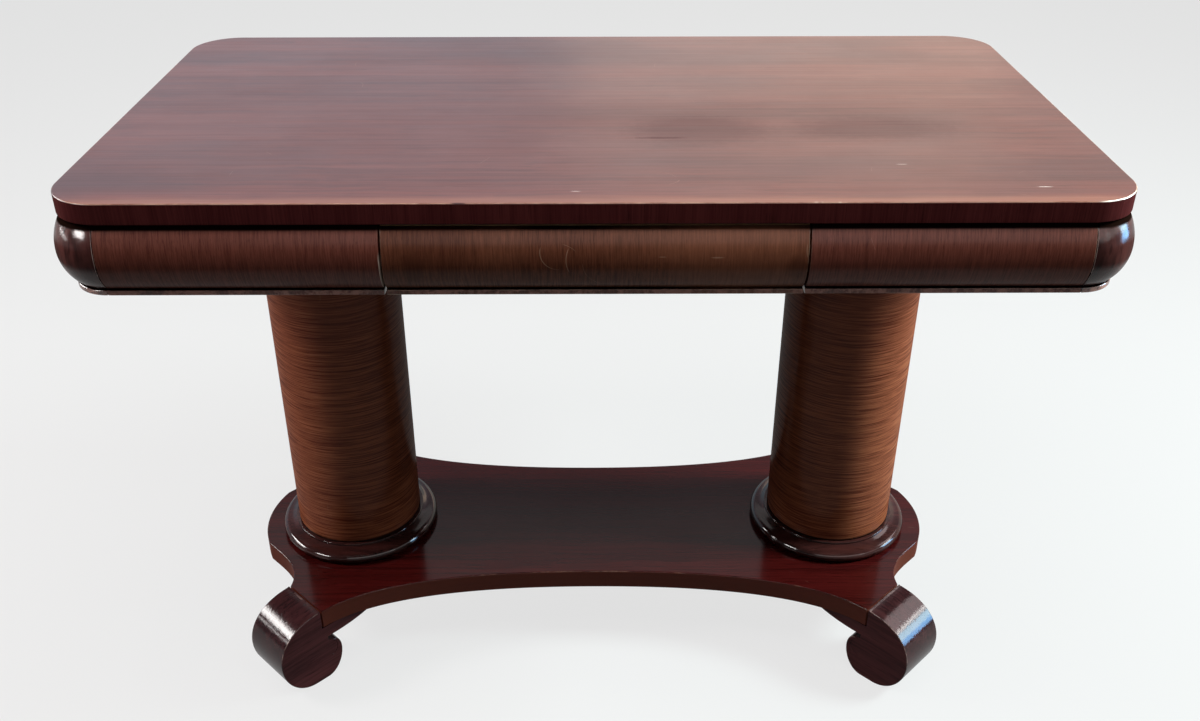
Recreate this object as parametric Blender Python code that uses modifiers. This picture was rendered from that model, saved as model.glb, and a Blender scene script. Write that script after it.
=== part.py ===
"""Double-pedestal library table in mahogany.

A top with rounded corners lies on a cushion-moulded apron with turned corner blocks and one
drawer. Two coopered columns carry it on a shaped platform, which stands on four C-scroll feet.
Units are metres, +Z is up, the drawer opens towards -Y, and the origin is on the floor under
the middle of the table.
"""
import math

import bmesh
import bpy
from mathutils import Matrix

# Fits
GLUE_GAP = 0.0003                # air left in a glued or seated joint
CUT_OVERRUN = 0.002              # how far a cutter runs out past the face it opens

# Top
TABLE_HEIGHT = 0.762
TOP_LENGTH = 1.146
TOP_DEPTH = 0.628
TOP_THICKNESS = 0.024
TOP_CORNER_RADIUS = 0.060
TOP_ARRIS = 0.0012

# Apron moulding, measured back from the crest of its cushion
APRON_PROUD = 0.0065             # how far the crest swells past the top's edge
CUSHION_HEIGHT = 0.076
CUSHION_UPPER_RADIUS = 0.071
CUSHION_LOWER_RADIUS = 0.051
CUSHION_CREST = 0.040            # crest below the underside of the top
GROOVE_HEIGHT = 0.0025
GROOVE_INSET = 0.0180
LIP_HEIGHT = 0.0065
LIP_INSET = 0.0145
LIP_ROUND = 0.0015
APRON_THICKNESS = 0.034          # from the crest to the flat back
CORNER_RADIUS = 0.0585           # turned corner block at its crest

# Drawer
DRAWER_OPENING = 0.448           # between the two fixed front boards
DRAWER_SIDE_CLEARANCE = 0.0008
DRAWER_TOP_CLEARANCE = 0.0030    # drawer front under the top
DRAWER_SIDE_THICKNESS = 0.012
DRAWER_BACK_THICKNESS = 0.012
DRAWER_BACK_DROP = 0.004         # back's upper edge below the sides'
DRAWER_PANEL_THICKNESS = 0.006
DRAWER_GROOVE_DEPTH = 0.006
DRAWER_REAR_SPACE = 0.102        # air between the drawer's back and the rear apron
DRAWER_TOP_AIR = 0.001           # drawer sides under the kickers
DOVETAIL_COUNT = 3
DOVETAIL_LENGTH = 0.012
DOVETAIL_NECK = 0.010
DOVETAIL_TIP = 0.014
DOVETAIL_MARGIN = 0.0102         # middle of an outer tail from the edge of the side

# Runners, kickers and stops that guide the drawer
GUIDE_WIDTH = 0.022
GUIDE_HEIGHT = 0.036
LEDGE_REACH = 0.019              # how far a ledge reaches under the drawer side
LEDGE_THICKNESS = 0.0075
RUNNER_LIFT = 0.001              # runner above the lower edge of the apron
KICKER_THICKNESS = 0.010
STOP_LENGTH = 0.030
STOP_HEIGHT = 0.020
STOP_GAP = 0.0005

# Bearers that join the columns to the apron
BEARER_WIDTH = 0.190
BEARER_THICKNESS = 0.028
BEARER_LIFT = 0.004              # bearer above the lower edge of the apron
BEARER_GAP = 0.010               # air between a bearer and the drawer's guide
TONGUE_THICKNESS = 0.012
TONGUE_LENGTH = 0.010

# Corner braces glued behind the corner blocks
BRACE_LEG = 0.0665               # along each board from the corner block's flat face
BRACE_HEIGHT = 0.045
BRACE_SCREW_SET = 0.012          # screw from the brace's notch, along X and along Y

# Columns and their base rings
COLUMN_DIAMETER = 0.178
COLUMN_WALL = 0.036
PLUG_THICKNESS = 0.026
RING_WIDTH = 0.0245
RING_HEIGHT = 0.0225
RING_ROUND = 0.0068              # radius of the half-round outer edge
RING_BEAD_WIDTH = 0.0045         # flat bead against the column
RING_BEAD_HEIGHT = 0.0030
RING_COVE = 0.0030               # hollow of the slope between the round and the bead

# Tie rods through the columns
ROD_DIAMETER = 0.012
ROD_CLEARANCE = 0.0006
ROD_PROUD = 0.004                # thread beyond a nut
WASHER_DIAMETER = 0.030
WASHER_THICKNESS = 0.0025
NUT_SIDES = 6
NUT_ACROSS_FLATS = 0.019
NUT_HEIGHT = 0.010
COUNTERBORE_DIAMETER = 0.034

# Platform
PLATFORM_THICKNESS = 0.029
PLATFORM_WAIST = 0.254           # depth at the middle
LOBE_RADIUS = 0.1395             # round end about a column's centre
LOBE_END = math.radians(27)      # where the round end turns into the notch
NOTCH_ENTRY = math.radians(45)   # the outline's slant where it leaves the round end
NOTCH_EXIT = math.radians(9)     # and where it meets the clipped arm
NOTCH_ENTRY_PULL = 0.045
NOTCH_EXIT_PULL = 0.038
ARM_OUT = 0.048                  # middle of the clipped arm from the column's centre
ARM_FORWARD = 0.182
WAIST_PULL = 0.200
ARM_PULL = 0.075

# C-scroll feet, measured outwards from the clipped arm and up from the floor
FOOT_WIDTH = 0.076
FOOT_ANGLE = math.radians(45)
FOOT_SEAM = 0.0025               # open seam between the arm's end and the foot's shoulder
FOOT_REACH = 0.0706
BELLY_HEIGHT = 0.060             # height of the outermost point
SHOULDER_PULL = 0.041
BELLY_PULL = 0.035
PAD_START = 0.003                # flat spot that rests on the floor
PAD_LENGTH = 0.019
VOLUTE_REACH = 0.0245            # innermost point of the curl, inside the clipped end
VOLUTE_MIDDLE = 0.040            # height of that point
VOLUTE_TOP = 0.0605
VOLUTE_END = 0.013               # where the curl's rim turns into the notch
NICK_HEIGHT = 0.0095             # mouth of the notch between curl and heel
NICK_ROOT = 0.005
NICK_SLOPE = 0.0032              # rise of the curl's rim inside the notch
HEEL_DEPTH = 0.0195              # heel under the arm, beside the notch
HEEL_LENGTH = 0.102
HEEL_PULL = 0.060

# Wood screws
SCREW_DIAMETER = 0.005
SCREW_HEAD_DIAMETER = 0.010
SCREW_HEAD_HEIGHT = 0.003
SCREW_HEAD_DEPTH = 0.006         # head sunk into the wood
SCREW_TIP_COVER = 0.009          # wood left over a screw's tip
FOOT_SCREW_SET = 0.050           # from the clipped arm

# Facets
WELD = 1e-5                      # points closer than this are one
FLAT = math.radians(0.05)        # faces that meet flatter than this are one
SHARP = math.radians(50)         # edges sharper than this break the smooth shading
ROUND_STEPS = 48                 # round a column, ring or corner block
PLUG_STEPS = 24
SMALL_STEPS = 12                 # round a rod, washer or screw
CURVE_STEPS = 12                 # along a curve of an outline
EASING_STEPS = 2                 # round a small eased edge
QUARTER_PULL = 0.55              # pull that makes a cubic curve a quarter of an ellipse

# Levels
TOP_UNDERSIDE = TABLE_HEIGHT - TOP_THICKNESS
CREST_LEVEL = TOP_UNDERSIDE - CUSHION_CREST
CUSHION_BOTTOM = TOP_UNDERSIDE - CUSHION_HEIGHT
LIP_TOP = CUSHION_BOTTOM - GROOVE_HEIGHT
APRON_BOTTOM = LIP_TOP - LIP_HEIGHT
BEARER_UNDERSIDE = APRON_BOTTOM + BEARER_LIFT
BEARER_TOP = BEARER_UNDERSIDE + BEARER_THICKNESS
PLATFORM_UNDERSIDE = VOLUTE_TOP + NICK_HEIGHT + HEEL_DEPTH
PLATFORM_TOP = PLATFORM_UNDERSIDE + PLATFORM_THICKNESS

# Plan
CREST_X = TOP_LENGTH / 2 + APRON_PROUD
CREST_Y = TOP_DEPTH / 2 + APRON_PROUD
CORNER_X = CREST_X - CORNER_RADIUS
CORNER_Y = CREST_Y - CORNER_RADIUS
INSIDE_X = CREST_X - APRON_THICKNESS
INSIDE_Y = CREST_Y - APRON_THICKNESS
COLUMN_X = DRAWER_OPENING / 2 + GUIDE_WIDTH + BEARER_GAP + BEARER_WIDTH / 2
COLUMN_RADIUS = COLUMN_DIAMETER / 2
BORE_RADIUS = COLUMN_RADIUS - COLUMN_WALL
ROD_HOLE_RADIUS = ROD_DIAMETER / 2 + ROD_CLEARANCE
DRAWER_HALF = DRAWER_OPENING / 2 - DRAWER_SIDE_CLEARANCE
DRAWER_REAR = INSIDE_Y - DRAWER_REAR_SPACE

# Finishes: colour, roughness, metallic
FINISHES = {
    "polished_top": ((0.205, 0.098, 0.080, 1.0), 0.30, 0.0),
    "crotch_veneer": ((0.095, 0.036, 0.024, 1.0), 0.34, 0.0),
    "dark_turning": ((0.042, 0.016, 0.013, 1.0), 0.22, 0.0),
    "column_veneer": ((0.130, 0.046, 0.022, 1.0), 0.36, 0.0),
    "platform_mahogany": ((0.070, 0.023, 0.017, 1.0), 0.32, 0.0),
    "scroll_mahogany": ((0.060, 0.024, 0.022, 1.0), 0.28, 0.0),
    "raw_poplar": ((0.420, 0.290, 0.165, 1.0), 0.70, 0.0),
    "plain_steel": ((0.420, 0.400, 0.370, 1.0), 0.45, 1.0),
}

STANDING = math.radians(90)
FRONT, REAR, RIGHT, LEFT = -math.pi / 2, math.pi / 2, 0.0, math.pi


def arc(centre, radius, start, end, steps):
    """Points on a circular arc, both ends included."""
    angles = [start + (end - start) * i / steps for i in range(steps + 1)]
    return [(centre[0] + radius * math.cos(a), centre[1] + radius * math.sin(a)) for a in angles]


def bezier(start, pull_out, pull_in, end, steps):
    """Points on a cubic curve, both ends included."""
    points = []
    for i in range(steps + 1):
        t = i / steps
        weights = ((1 - t) ** 3, 3 * t * (1 - t) ** 2, 3 * t * t * (1 - t), t ** 3)
        corners = (start, pull_out, pull_in, end)
        points.append(tuple(sum(w * c[k] for w, c in zip(weights, corners)) for k in (0, 1)))
    return points


def moved(point, angle, distance):
    """A point shifted by a distance in a direction of the plan."""
    return point[0] + distance * math.cos(angle), point[1] + distance * math.sin(angle)


def make_object(name, mesh, finish=None, parent=None):
    """Puts a mesh in the scene: a part with its own material, or a cutter without one."""
    made = bpy.data.objects.new(name, mesh)
    if finish is None:
        cutters.objects.link(made)
        made.hide_render = True
        made.display_type = "WIRE"
        return made
    parts.objects.link(made)
    made.parent = parent or table
    material = bpy.data.materials.new(f"{name}_{finish}")
    material.use_nodes = True
    shader = material.node_tree.nodes["Principled BSDF"]
    colour, roughness, metallic = FINISHES[finish]
    shader.inputs["Base Color"].default_value = colour
    shader.inputs["Roughness"].default_value = roughness
    shader.inputs["Metallic"].default_value = metallic
    mesh.materials.append(material)
    return made


def place(made, location, angle=None):
    """Moves an object to a world place, standing it up to face a plan angle where one is given."""
    carrier = made.parent.location if made.parent else (0.0, 0.0, 0.0)
    made.location = [world - offset for world, offset in zip(location, carrier)]
    if angle is not None:
        made.rotation_euler = (STANDING, 0.0, angle)
    return made


def evaluated_mesh(drawn):
    """The mesh that an object's settings and modifiers make, with the object put away."""
    mesh = bpy.data.meshes.new_from_object(drawn.evaluated_get(bpy.context.evaluated_depsgraph_get()))
    bpy.data.objects.remove(drawn)
    return mesh


def shade(mesh):
    """Smooth shading, broken at the sharp edges."""
    mesh.shade_smooth()
    mesh.set_sharp_from_angle(angle=SHARP)
    return mesh


def board_mesh(name, loops, thickness):
    """A flat outline, with any holes as further loops, given a thickness both ways."""
    curve = bpy.data.curves.new(name, "CURVE")
    curve.dimensions = "2D"
    curve.fill_mode = "BOTH"
    curve.extrude = thickness / 2
    for loop in loops:
        spline = curve.splines.new("POLY")
        spline.points.add(len(loop) - 1)
        for point, (x, y) in zip(spline.points, loop):
            point.co = (x, y, 0.0, 1.0)
        spline.use_cyclic_u = True
    drawn = bpy.data.objects.new(name, curve)
    cutters.objects.link(drawn)
    mesh = evaluated_mesh(drawn)
    bpy.data.curves.remove(curve)
    shape = bmesh.new()
    shape.from_mesh(mesh)
    bmesh.ops.remove_doubles(shape, verts=shape.verts, dist=WELD)
    bmesh.ops.dissolve_degenerate(shape, dist=WELD, edges=shape.edges)
    bmesh.ops.dissolve_limit(shape, angle_limit=FLAT, verts=shape.verts, edges=shape.edges)
    bmesh.ops.recalc_face_normals(shape, faces=shape.faces)
    shape.to_mesh(mesh)
    shape.free()
    return shade(mesh)


def box_mesh(name, size):
    """A block about its own middle."""
    shape = bmesh.new()
    bmesh.ops.create_cube(shape, size=1.0, matrix=Matrix.Diagonal((*size, 1.0)))
    mesh = bpy.data.meshes.new(name)
    shape.to_mesh(mesh)
    shape.free()
    return mesh


def turned_mesh(name, points, steps, closed=True):
    """A profile spun round the Z axis: its outer side runs from top to bottom."""
    profile = bpy.data.meshes.new(name)
    edges = [(i, i + 1) for i in range(len(points) - 1)]
    if closed:
        edges.append((len(points) - 1, 0))
    profile.from_pydata([(r, 0.0, z) for r, z in points], edges, [])
    spun = bpy.data.objects.new(name, profile)
    cutters.objects.link(spun)
    screw = spun.modifiers.new("turned", "SCREW")
    screw.steps = steps
    screw.render_steps = steps
    screw.use_merge_vertices = True
    screw.merge_threshold = WELD
    mesh = evaluated_mesh(spun)
    bpy.data.meshes.remove(profile)
    return shade(mesh)


def sleeve(inner, outer, bottom, top):
    """Closed profile of a straight tube."""
    return [(inner, top), (outer, top), (outer, bottom), (inner, bottom)]


def cut(target, cutter, operation="DIFFERENCE"):
    boolean = target.modifiers.new(cutter.name, "BOOLEAN")
    boolean.operation = operation
    boolean.object = cutter


def cut_box(target, size, centre):
    """Takes a block out of a part."""
    name = f"{target.name}_cut_{len(target.modifiers)}"
    cut(target, place(make_object(name, box_mesh(name, size)), centre))


def drill(target, profile, x, y):
    """Takes a turned hole out of a part."""
    name = f"{target.name}_hole_{len(target.modifiers)}"
    hole = make_object(name, turned_mesh(name, profile, SMALL_STEPS, closed=False))
    cut(target, place(hole, (x, y, 0.0)))


def centred(low, high):
    """Size and middle of a block from its lowest and highest corners."""
    size = [b - a for a, b in zip(low, high)]
    return size, [(a + b) / 2 for a, b in zip(low, high)]


def block(name, low, high, finish, parent=None):
    """A plain wooden block between two corners."""
    size, middle = centred(low, high)
    return place(make_object(name, box_mesh(name, size), finish, parent), middle)


def screw_profile(tip, shoulder, head, clearance=0.0):
    """A round-shanked screw with its tip up, or the hole for one."""
    shank = SCREW_DIAMETER / 2 + clearance
    cap = SCREW_HEAD_DIAMETER / 2 + clearance
    return [(0.0, tip + clearance), (shank, tip + clearance), (shank, shoulder + clearance),
            (cap, shoulder + clearance), (cap, head), (0.0, head)]


def drive_screw(name, x, y, tip, underside, targets):
    """A screw sunk into an underside, with its hole in each piece that it passes."""
    head = underside + SCREW_HEAD_DEPTH
    shoulder = head + SCREW_HEAD_HEIGHT
    shape = turned_mesh(name, screw_profile(tip, shoulder, head), SMALL_STEPS, closed=False)
    place(make_object(name, shape, "plain_steel"), (x, y, 0.0))
    hole = screw_profile(tip, shoulder, underside - CUT_OVERRUN, GLUE_GAP)
    for target in targets:
        drill(target, hole, x, y)


def make_top():
    """The top: one wide board with quarter-round corners and a lightly eased arris."""
    half_x, half_y = TOP_LENGTH / 2 - TOP_CORNER_RADIUS, TOP_DEPTH / 2 - TOP_CORNER_RADIUS
    outline = []
    for quarter, (sx, sy) in enumerate(((1, 1), (-1, 1), (-1, -1), (1, -1))):
        start = quarter * math.pi / 2
        centre = (sx * half_x, sy * half_y)
        outline += arc(centre, TOP_CORNER_RADIUS, start, start + math.pi / 2, CURVE_STEPS)
    top = make_object("top_panel", board_mesh("top_panel", [outline], TOP_THICKNESS), "polished_top")
    place(top, (0.0, 0.0, TABLE_HEIGHT - TOP_THICKNESS / 2))
    easing = top.modifiers.new("eased_arris", "BEVEL")
    easing.width = TOP_ARRIS
    easing.segments = EASING_STEPS
    easing.limit_method = "ANGLE"
    return top


def moulding_face(upper_edge):
    """The apron's show face from its lip up to an edge, as distance out from the crest and height."""
    rounding = LIP_INSET + LIP_ROUND
    face = arc((-rounding, APRON_BOTTOM + LIP_ROUND), LIP_ROUND, -math.pi / 2, 0.0, EASING_STEPS)
    face += arc((-rounding, LIP_TOP - LIP_ROUND), LIP_ROUND, 0.0, math.pi / 2, EASING_STEPS)
    face += [(-GROOVE_INSET, LIP_TOP), (-GROOVE_INSET, CUSHION_BOTTOM)]
    low = math.asin((CUSHION_BOTTOM - CREST_LEVEL) / CUSHION_LOWER_RADIUS)
    high = math.asin((upper_edge - CREST_LEVEL) / CUSHION_UPPER_RADIUS)
    face += arc((-CUSHION_LOWER_RADIUS, CREST_LEVEL), CUSHION_LOWER_RADIUS, low, 0.0, CURVE_STEPS // 2)
    return face + arc((-CUSHION_UPPER_RADIUS, CREST_LEVEL), CUSHION_UPPER_RADIUS, 0.0, high,
                      CURVE_STEPS // 2)[1:]


def apron_board(name, facing, start, end, upper_edge, finish="crotch_veneer", parent=None):
    """A length of apron between two stations along its side of the table."""
    outline = moulding_face(upper_edge)
    outline = [(-APRON_THICKNESS, APRON_BOTTOM)] + outline + [(-APRON_THICKNESS, upper_edge)]
    made = make_object(name, board_mesh(name, [outline], end - start), finish, parent)
    middle = (start + end) / 2
    along_x = facing in (FRONT, REAR)
    crest = (CREST_Y if along_x else CREST_X) * (1 if facing in (REAR, RIGHT) else -1)
    return place(made, (middle, crest, 0.0) if along_x else (crest, middle, 0.0), facing)


def make_apron():
    """Fixed boards on all four sides: the front is split by the drawer."""
    upper_edge = TOP_UNDERSIDE - GLUE_GAP
    reach_x, reach_y = CORNER_X - GLUE_GAP, CORNER_Y - GLUE_GAP
    opening = DRAWER_OPENING / 2
    return {
        "front_left": apron_board("apron_front_left", FRONT, -reach_x, -opening, upper_edge),
        "front_right": apron_board("apron_front_right", FRONT, opening, reach_x, upper_edge),
        "rear": apron_board("apron_rear", REAR, -reach_x, reach_x, upper_edge),
        "left": apron_board("apron_end_left", LEFT, -reach_y, reach_y, upper_edge),
        "right": apron_board("apron_end_right", RIGHT, -reach_y, reach_y, upper_edge),
    }


def make_corner(name, side_x, side_y):
    """A corner block: the apron's moulding turned round, then sawn to a quarter."""
    upper_edge = TOP_UNDERSIDE - GLUE_GAP
    face = [(CORNER_RADIUS + out, height) for out, height in reversed(moulding_face(upper_edge))]
    profile = [(0.0, upper_edge)] + face + [(0.0, APRON_BOTTOM)]
    turned = make_object(name, turned_mesh(name, profile, ROUND_STEPS, closed=False), "dark_turning")
    place(turned, (side_x * CORNER_X, side_y * CORNER_Y, 0.0))
    reach = CORNER_RADIUS + CUT_OVERRUN
    size = (reach, reach, upper_edge - APRON_BOTTOM + 2 * CUT_OVERRUN)
    middle = (side_x * (CORNER_X + reach / 2), side_y * (CORNER_Y + reach / 2),
              (upper_edge + APRON_BOTTOM) / 2)
    quarter = place(make_object(f"{name}_quarter", box_mesh(f"{name}_quarter", size)), middle)
    cut(turned, quarter, "INTERSECT")


def make_brace(where, side_x, side_y, top):
    """A corner brace glued behind a corner block and the two boards beside it, screwed to the top."""
    seat_x, seat_y = CORNER_X - GLUE_GAP, CORNER_Y - GLUE_GAP
    wall_x, wall_y = INSIDE_X - GLUE_GAP, INSIDE_Y - GLUE_GAP
    outline = [(seat_x - BRACE_LEG, wall_y), (wall_x, seat_y - BRACE_LEG), (wall_x, seat_y),
               (seat_x, seat_y), (seat_x, wall_y)]
    outline = [(side_x * x, side_y * y) for x, y in outline]
    name = f"corner_brace_{where}"
    brace = make_object(name, board_mesh(name, [outline], BRACE_HEIGHT), "raw_poplar")
    underside = TOP_UNDERSIDE - GLUE_GAP - BRACE_HEIGHT
    place(brace, (0.0, 0.0, underside + BRACE_HEIGHT / 2))
    x, y = side_x * (seat_x - BRACE_SCREW_SET), side_y * (seat_y - BRACE_SCREW_SET)
    drive_screw(f"top_screw_{where}", x, y, TABLE_HEIGHT - SCREW_TIP_COVER, underside, [brace, top])


def make_bearer(name, side, boards):
    """A cross bearer over a column, with tongues housed in the front and rear boards."""
    span = INSIDE_Y - GLUE_GAP
    reach = span + TONGUE_LENGTH
    middle = (BEARER_UNDERSIDE + BEARER_TOP) / 2
    near, far = COLUMN_X * side - BEARER_WIDTH / 2, COLUMN_X * side + BEARER_WIDTH / 2
    bearer = block(name, (near, -reach, BEARER_UNDERSIDE), (far, reach, BEARER_TOP), "raw_poplar")
    rebate = (BEARER_THICKNESS - TONGUE_THICKNESS) / 2
    size = (BEARER_WIDTH + 2 * CUT_OVERRUN, TONGUE_LENGTH + CUT_OVERRUN, rebate + CUT_OVERRUN)
    for end in (-1, 1):
        for level, away in ((BEARER_UNDERSIDE, -1), (BEARER_TOP, 1)):
            cut_box(bearer, size, (side * COLUMN_X, end * (span + size[1] / 2),
                                   level + away * (CUT_OVERRUN - size[2] / 2)))
    hole = [(0.0, BEARER_TOP + CUT_OVERRUN), (ROD_HOLE_RADIUS, BEARER_TOP + CUT_OVERRUN),
            (ROD_HOLE_RADIUS, BEARER_UNDERSIDE - CUT_OVERRUN), (0.0, BEARER_UNDERSIDE - CUT_OVERRUN)]
    drill(bearer, hole, side * COLUMN_X, 0.0)
    size = (BEARER_WIDTH + 2 * GLUE_GAP, TONGUE_LENGTH + GLUE_GAP + CUT_OVERRUN,
            TONGUE_THICKNESS + 2 * GLUE_GAP)
    housing = INSIDE_Y + TONGUE_LENGTH + GLUE_GAP - size[1] / 2
    for board, facing in zip(boards, (-1, 1)):
        cut_box(board, size, (side * COLUMN_X, facing * housing, middle))


def dovetail_levels(low, high):
    """Heights of the middles of the dovetails in a drawer side."""
    spread = high - low - 2 * DOVETAIL_MARGIN
    return [low + DOVETAIL_MARGIN + spread * i / (DOVETAIL_COUNT - 1) for i in range(DOVETAIL_COUNT)]


def dovetail(level, length, clearance=0.0, before=0.0, beyond=0.0):
    """A tail as distance past its shoulder and height, or the socket that it fits with clearance."""
    flare = (DOVETAIL_TIP - DOVETAIL_NECK) / 2 / length
    root, end = -before, length + beyond
    neck, tip = (DOVETAIL_NECK / 2 + flare * u + clearance for u in (root, end))
    return [(root, level - neck), (end, level - tip), (end, level + tip), (root, level + neck)]


def cut_socket(board, label, shape, width, location, facing):
    """Takes the socket of one dovetail out of a drawer's front or back."""
    name = f"{board.name}_socket_{label}"
    cut(board, place(make_object(name, board_mesh(name, [shape], width)), location, facing))


def make_drawer():
    """The drawer: a moulded front, dovetailed sides and back, and a panel in grooves."""
    front_back = -INSIDE_Y
    ledge = APRON_BOTTOM + RUNNER_LIFT + LEDGE_THICKNESS
    low = ledge + GLUE_GAP
    high = TOP_UNDERSIDE - GLUE_GAP - KICKER_THICKNESS - DRAWER_TOP_AIR
    levels = dovetail_levels(low, high)
    panel_low = levels[0] - DRAWER_PANEL_THICKNESS / 2
    panel_high = levels[0] + DRAWER_PANEL_THICKNESS / 2
    back_low = panel_high + GLUE_GAP
    inner = DRAWER_HALF - DRAWER_SIDE_THICKNESS

    front = apron_board("drawer_front", FRONT, -DRAWER_HALF, DRAWER_HALF,
                        TOP_UNDERSIDE - DRAWER_TOP_CLEARANCE, parent=drawer)
    back_shoulder = DRAWER_REAR - DRAWER_BACK_THICKNESS
    back = block("drawer_back", (-DRAWER_HALF, back_shoulder, back_low),
                 (DRAWER_HALF, DRAWER_REAR, high - DRAWER_BACK_DROP), "raw_poplar", drawer)

    # Side outline: distance to the front of the drawer front's back face, and height
    depth, shoulder = DRAWER_REAR - front_back, back_shoulder - front_back - GLUE_GAP
    outline = [(-GLUE_GAP, low)]
    for level in levels:
        outline += [(u - GLUE_GAP, v) for u, v in dovetail(level, DOVETAIL_LENGTH)]
    outline += [(-GLUE_GAP, high), (-shoulder, high)]
    for level in reversed(levels[1:]):
        outline += [(-shoulder - u, v) for u, v in reversed(dovetail(level, DRAWER_BACK_THICKNESS))]
    outline += [(-shoulder, back_low - GLUE_GAP), (-depth, back_low - GLUE_GAP), (-depth, low)]

    for name, side in (("left", -1), ("right", 1)):
        label = f"drawer_side_{name}"
        shape = board_mesh(label, [outline], DRAWER_SIDE_THICKNESS)
        wall = make_object(label, shape, "raw_poplar", drawer)
        wall_middle = side * (DRAWER_HALF - DRAWER_SIDE_THICKNESS / 2)
        place(wall, (wall_middle, front_back, 0.0), FRONT)
        groove_low = (inner - CUT_OVERRUN, front_back - DOVETAIL_LENGTH - CUT_OVERRUN, panel_low - GLUE_GAP)
        groove_high = (inner + DRAWER_GROOVE_DEPTH, DRAWER_REAR + CUT_OVERRUN, panel_high + GLUE_GAP)
        size, middle = centred(groove_low, groove_high)
        cut_box(wall, size, (side * middle[0], middle[1], middle[2]))
        width = DRAWER_SIDE_THICKNESS + GLUE_GAP + CUT_OVERRUN
        socket_middle = side * (DRAWER_HALF - DRAWER_SIDE_THICKNESS - GLUE_GAP + width / 2)
        for number, level in enumerate(levels):
            lapped = dovetail(level, DOVETAIL_LENGTH, GLUE_GAP, CUT_OVERRUN, GLUE_GAP)
            cut_socket(front, f"{name}_{number}", lapped, width, (socket_middle, front_back, 0.0), FRONT)
            if number > 0:
                through = dovetail(level, DRAWER_BACK_THICKNESS, GLUE_GAP, CUT_OVERRUN, CUT_OVERRUN)
                cut_socket(back, f"{name}_{number}", through, width,
                           (socket_middle, back_shoulder, 0.0), REAR)

    panel_half = inner + DRAWER_GROOVE_DEPTH - GLUE_GAP
    panel_front = front_back - DRAWER_GROOVE_DEPTH + GLUE_GAP
    block("drawer_bottom", (-panel_half, panel_front, panel_low), (panel_half, DRAWER_REAR, panel_high),
          "raw_poplar", drawer)
    size, middle = centred((-panel_half - GLUE_GAP, front_back - DRAWER_GROOVE_DEPTH, panel_low - GLUE_GAP),
                           (panel_half + GLUE_GAP, front_back + CUT_OVERRUN, panel_high + GLUE_GAP))
    cut_box(front, size, middle)


def make_runner(name, side):
    """A runner: the ledge that a drawer side slides on and the guide beside it, in one L section."""
    bottom = APRON_BOTTOM + RUNNER_LIFT
    inner, outer = DRAWER_OPENING / 2, DRAWER_OPENING / 2 + GUIDE_WIDTH
    section = [(inner - LEDGE_REACH, bottom), (outer, bottom), (outer, bottom + GUIDE_HEIGHT),
               (inner, bottom + GUIDE_HEIGHT), (inner, bottom + LEDGE_THICKNESS),
               (inner - LEDGE_REACH, bottom + LEDGE_THICKNESS)]
    section = [(side * x, z) for x, z in section]
    label = f"drawer_runner_{name}"
    length = 2 * (INSIDE_Y - GLUE_GAP)
    place(make_object(label, board_mesh(label, [section], length), "raw_poplar"), (0.0, 0.0, 0.0), RIGHT)

    kicker_top = TOP_UNDERSIDE - GLUE_GAP
    near, far = sorted((side * (inner - LEDGE_REACH), side * outer))
    block(f"drawer_kicker_{name}", (near, -INSIDE_Y + GLUE_GAP, kicker_top - KICKER_THICKNESS),
          (far, INSIDE_Y - GLUE_GAP, kicker_top), "raw_poplar")

    stop_low = bottom + LEDGE_THICKNESS + GLUE_GAP
    near, far = sorted((side * (inner - LEDGE_REACH), side * (inner - GLUE_GAP)))
    block(f"drawer_stop_{name}", (near, DRAWER_REAR + STOP_GAP, stop_low),
          (far, DRAWER_REAR + STOP_GAP + STOP_LENGTH, stop_low + STOP_HEIGHT), "raw_poplar")


def ring_profile():
    """Base ring: a bead against the column, a hollow slope and a half-round outer edge."""
    inner = COLUMN_RADIUS + GLUE_GAP
    bottom = PLATFORM_TOP + GLUE_GAP
    top = bottom + RING_HEIGHT
    outer = COLUMN_RADIUS + RING_WIDTH
    bead = inner + RING_BEAD_WIDTH
    slope_start = (bead, top - RING_BEAD_HEIGHT)
    slope_end = (outer - RING_ROUND, bottom + 2 * RING_ROUND)
    hollow = ((slope_start[0] + slope_end[0]) / 2, (slope_start[1] + slope_end[1]) / 2 - RING_COVE)
    slope = bezier(slope_start, hollow, hollow, slope_end, CURVE_STEPS // 3)
    round_middle = (outer - RING_ROUND, bottom + RING_ROUND)
    edge = arc(round_middle, RING_ROUND, math.pi / 2, -math.pi / 2, CURVE_STEPS // 2)
    return [(inner, top), (bead, top)] + slope + edge[1:] + [(inner, bottom)]


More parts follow.
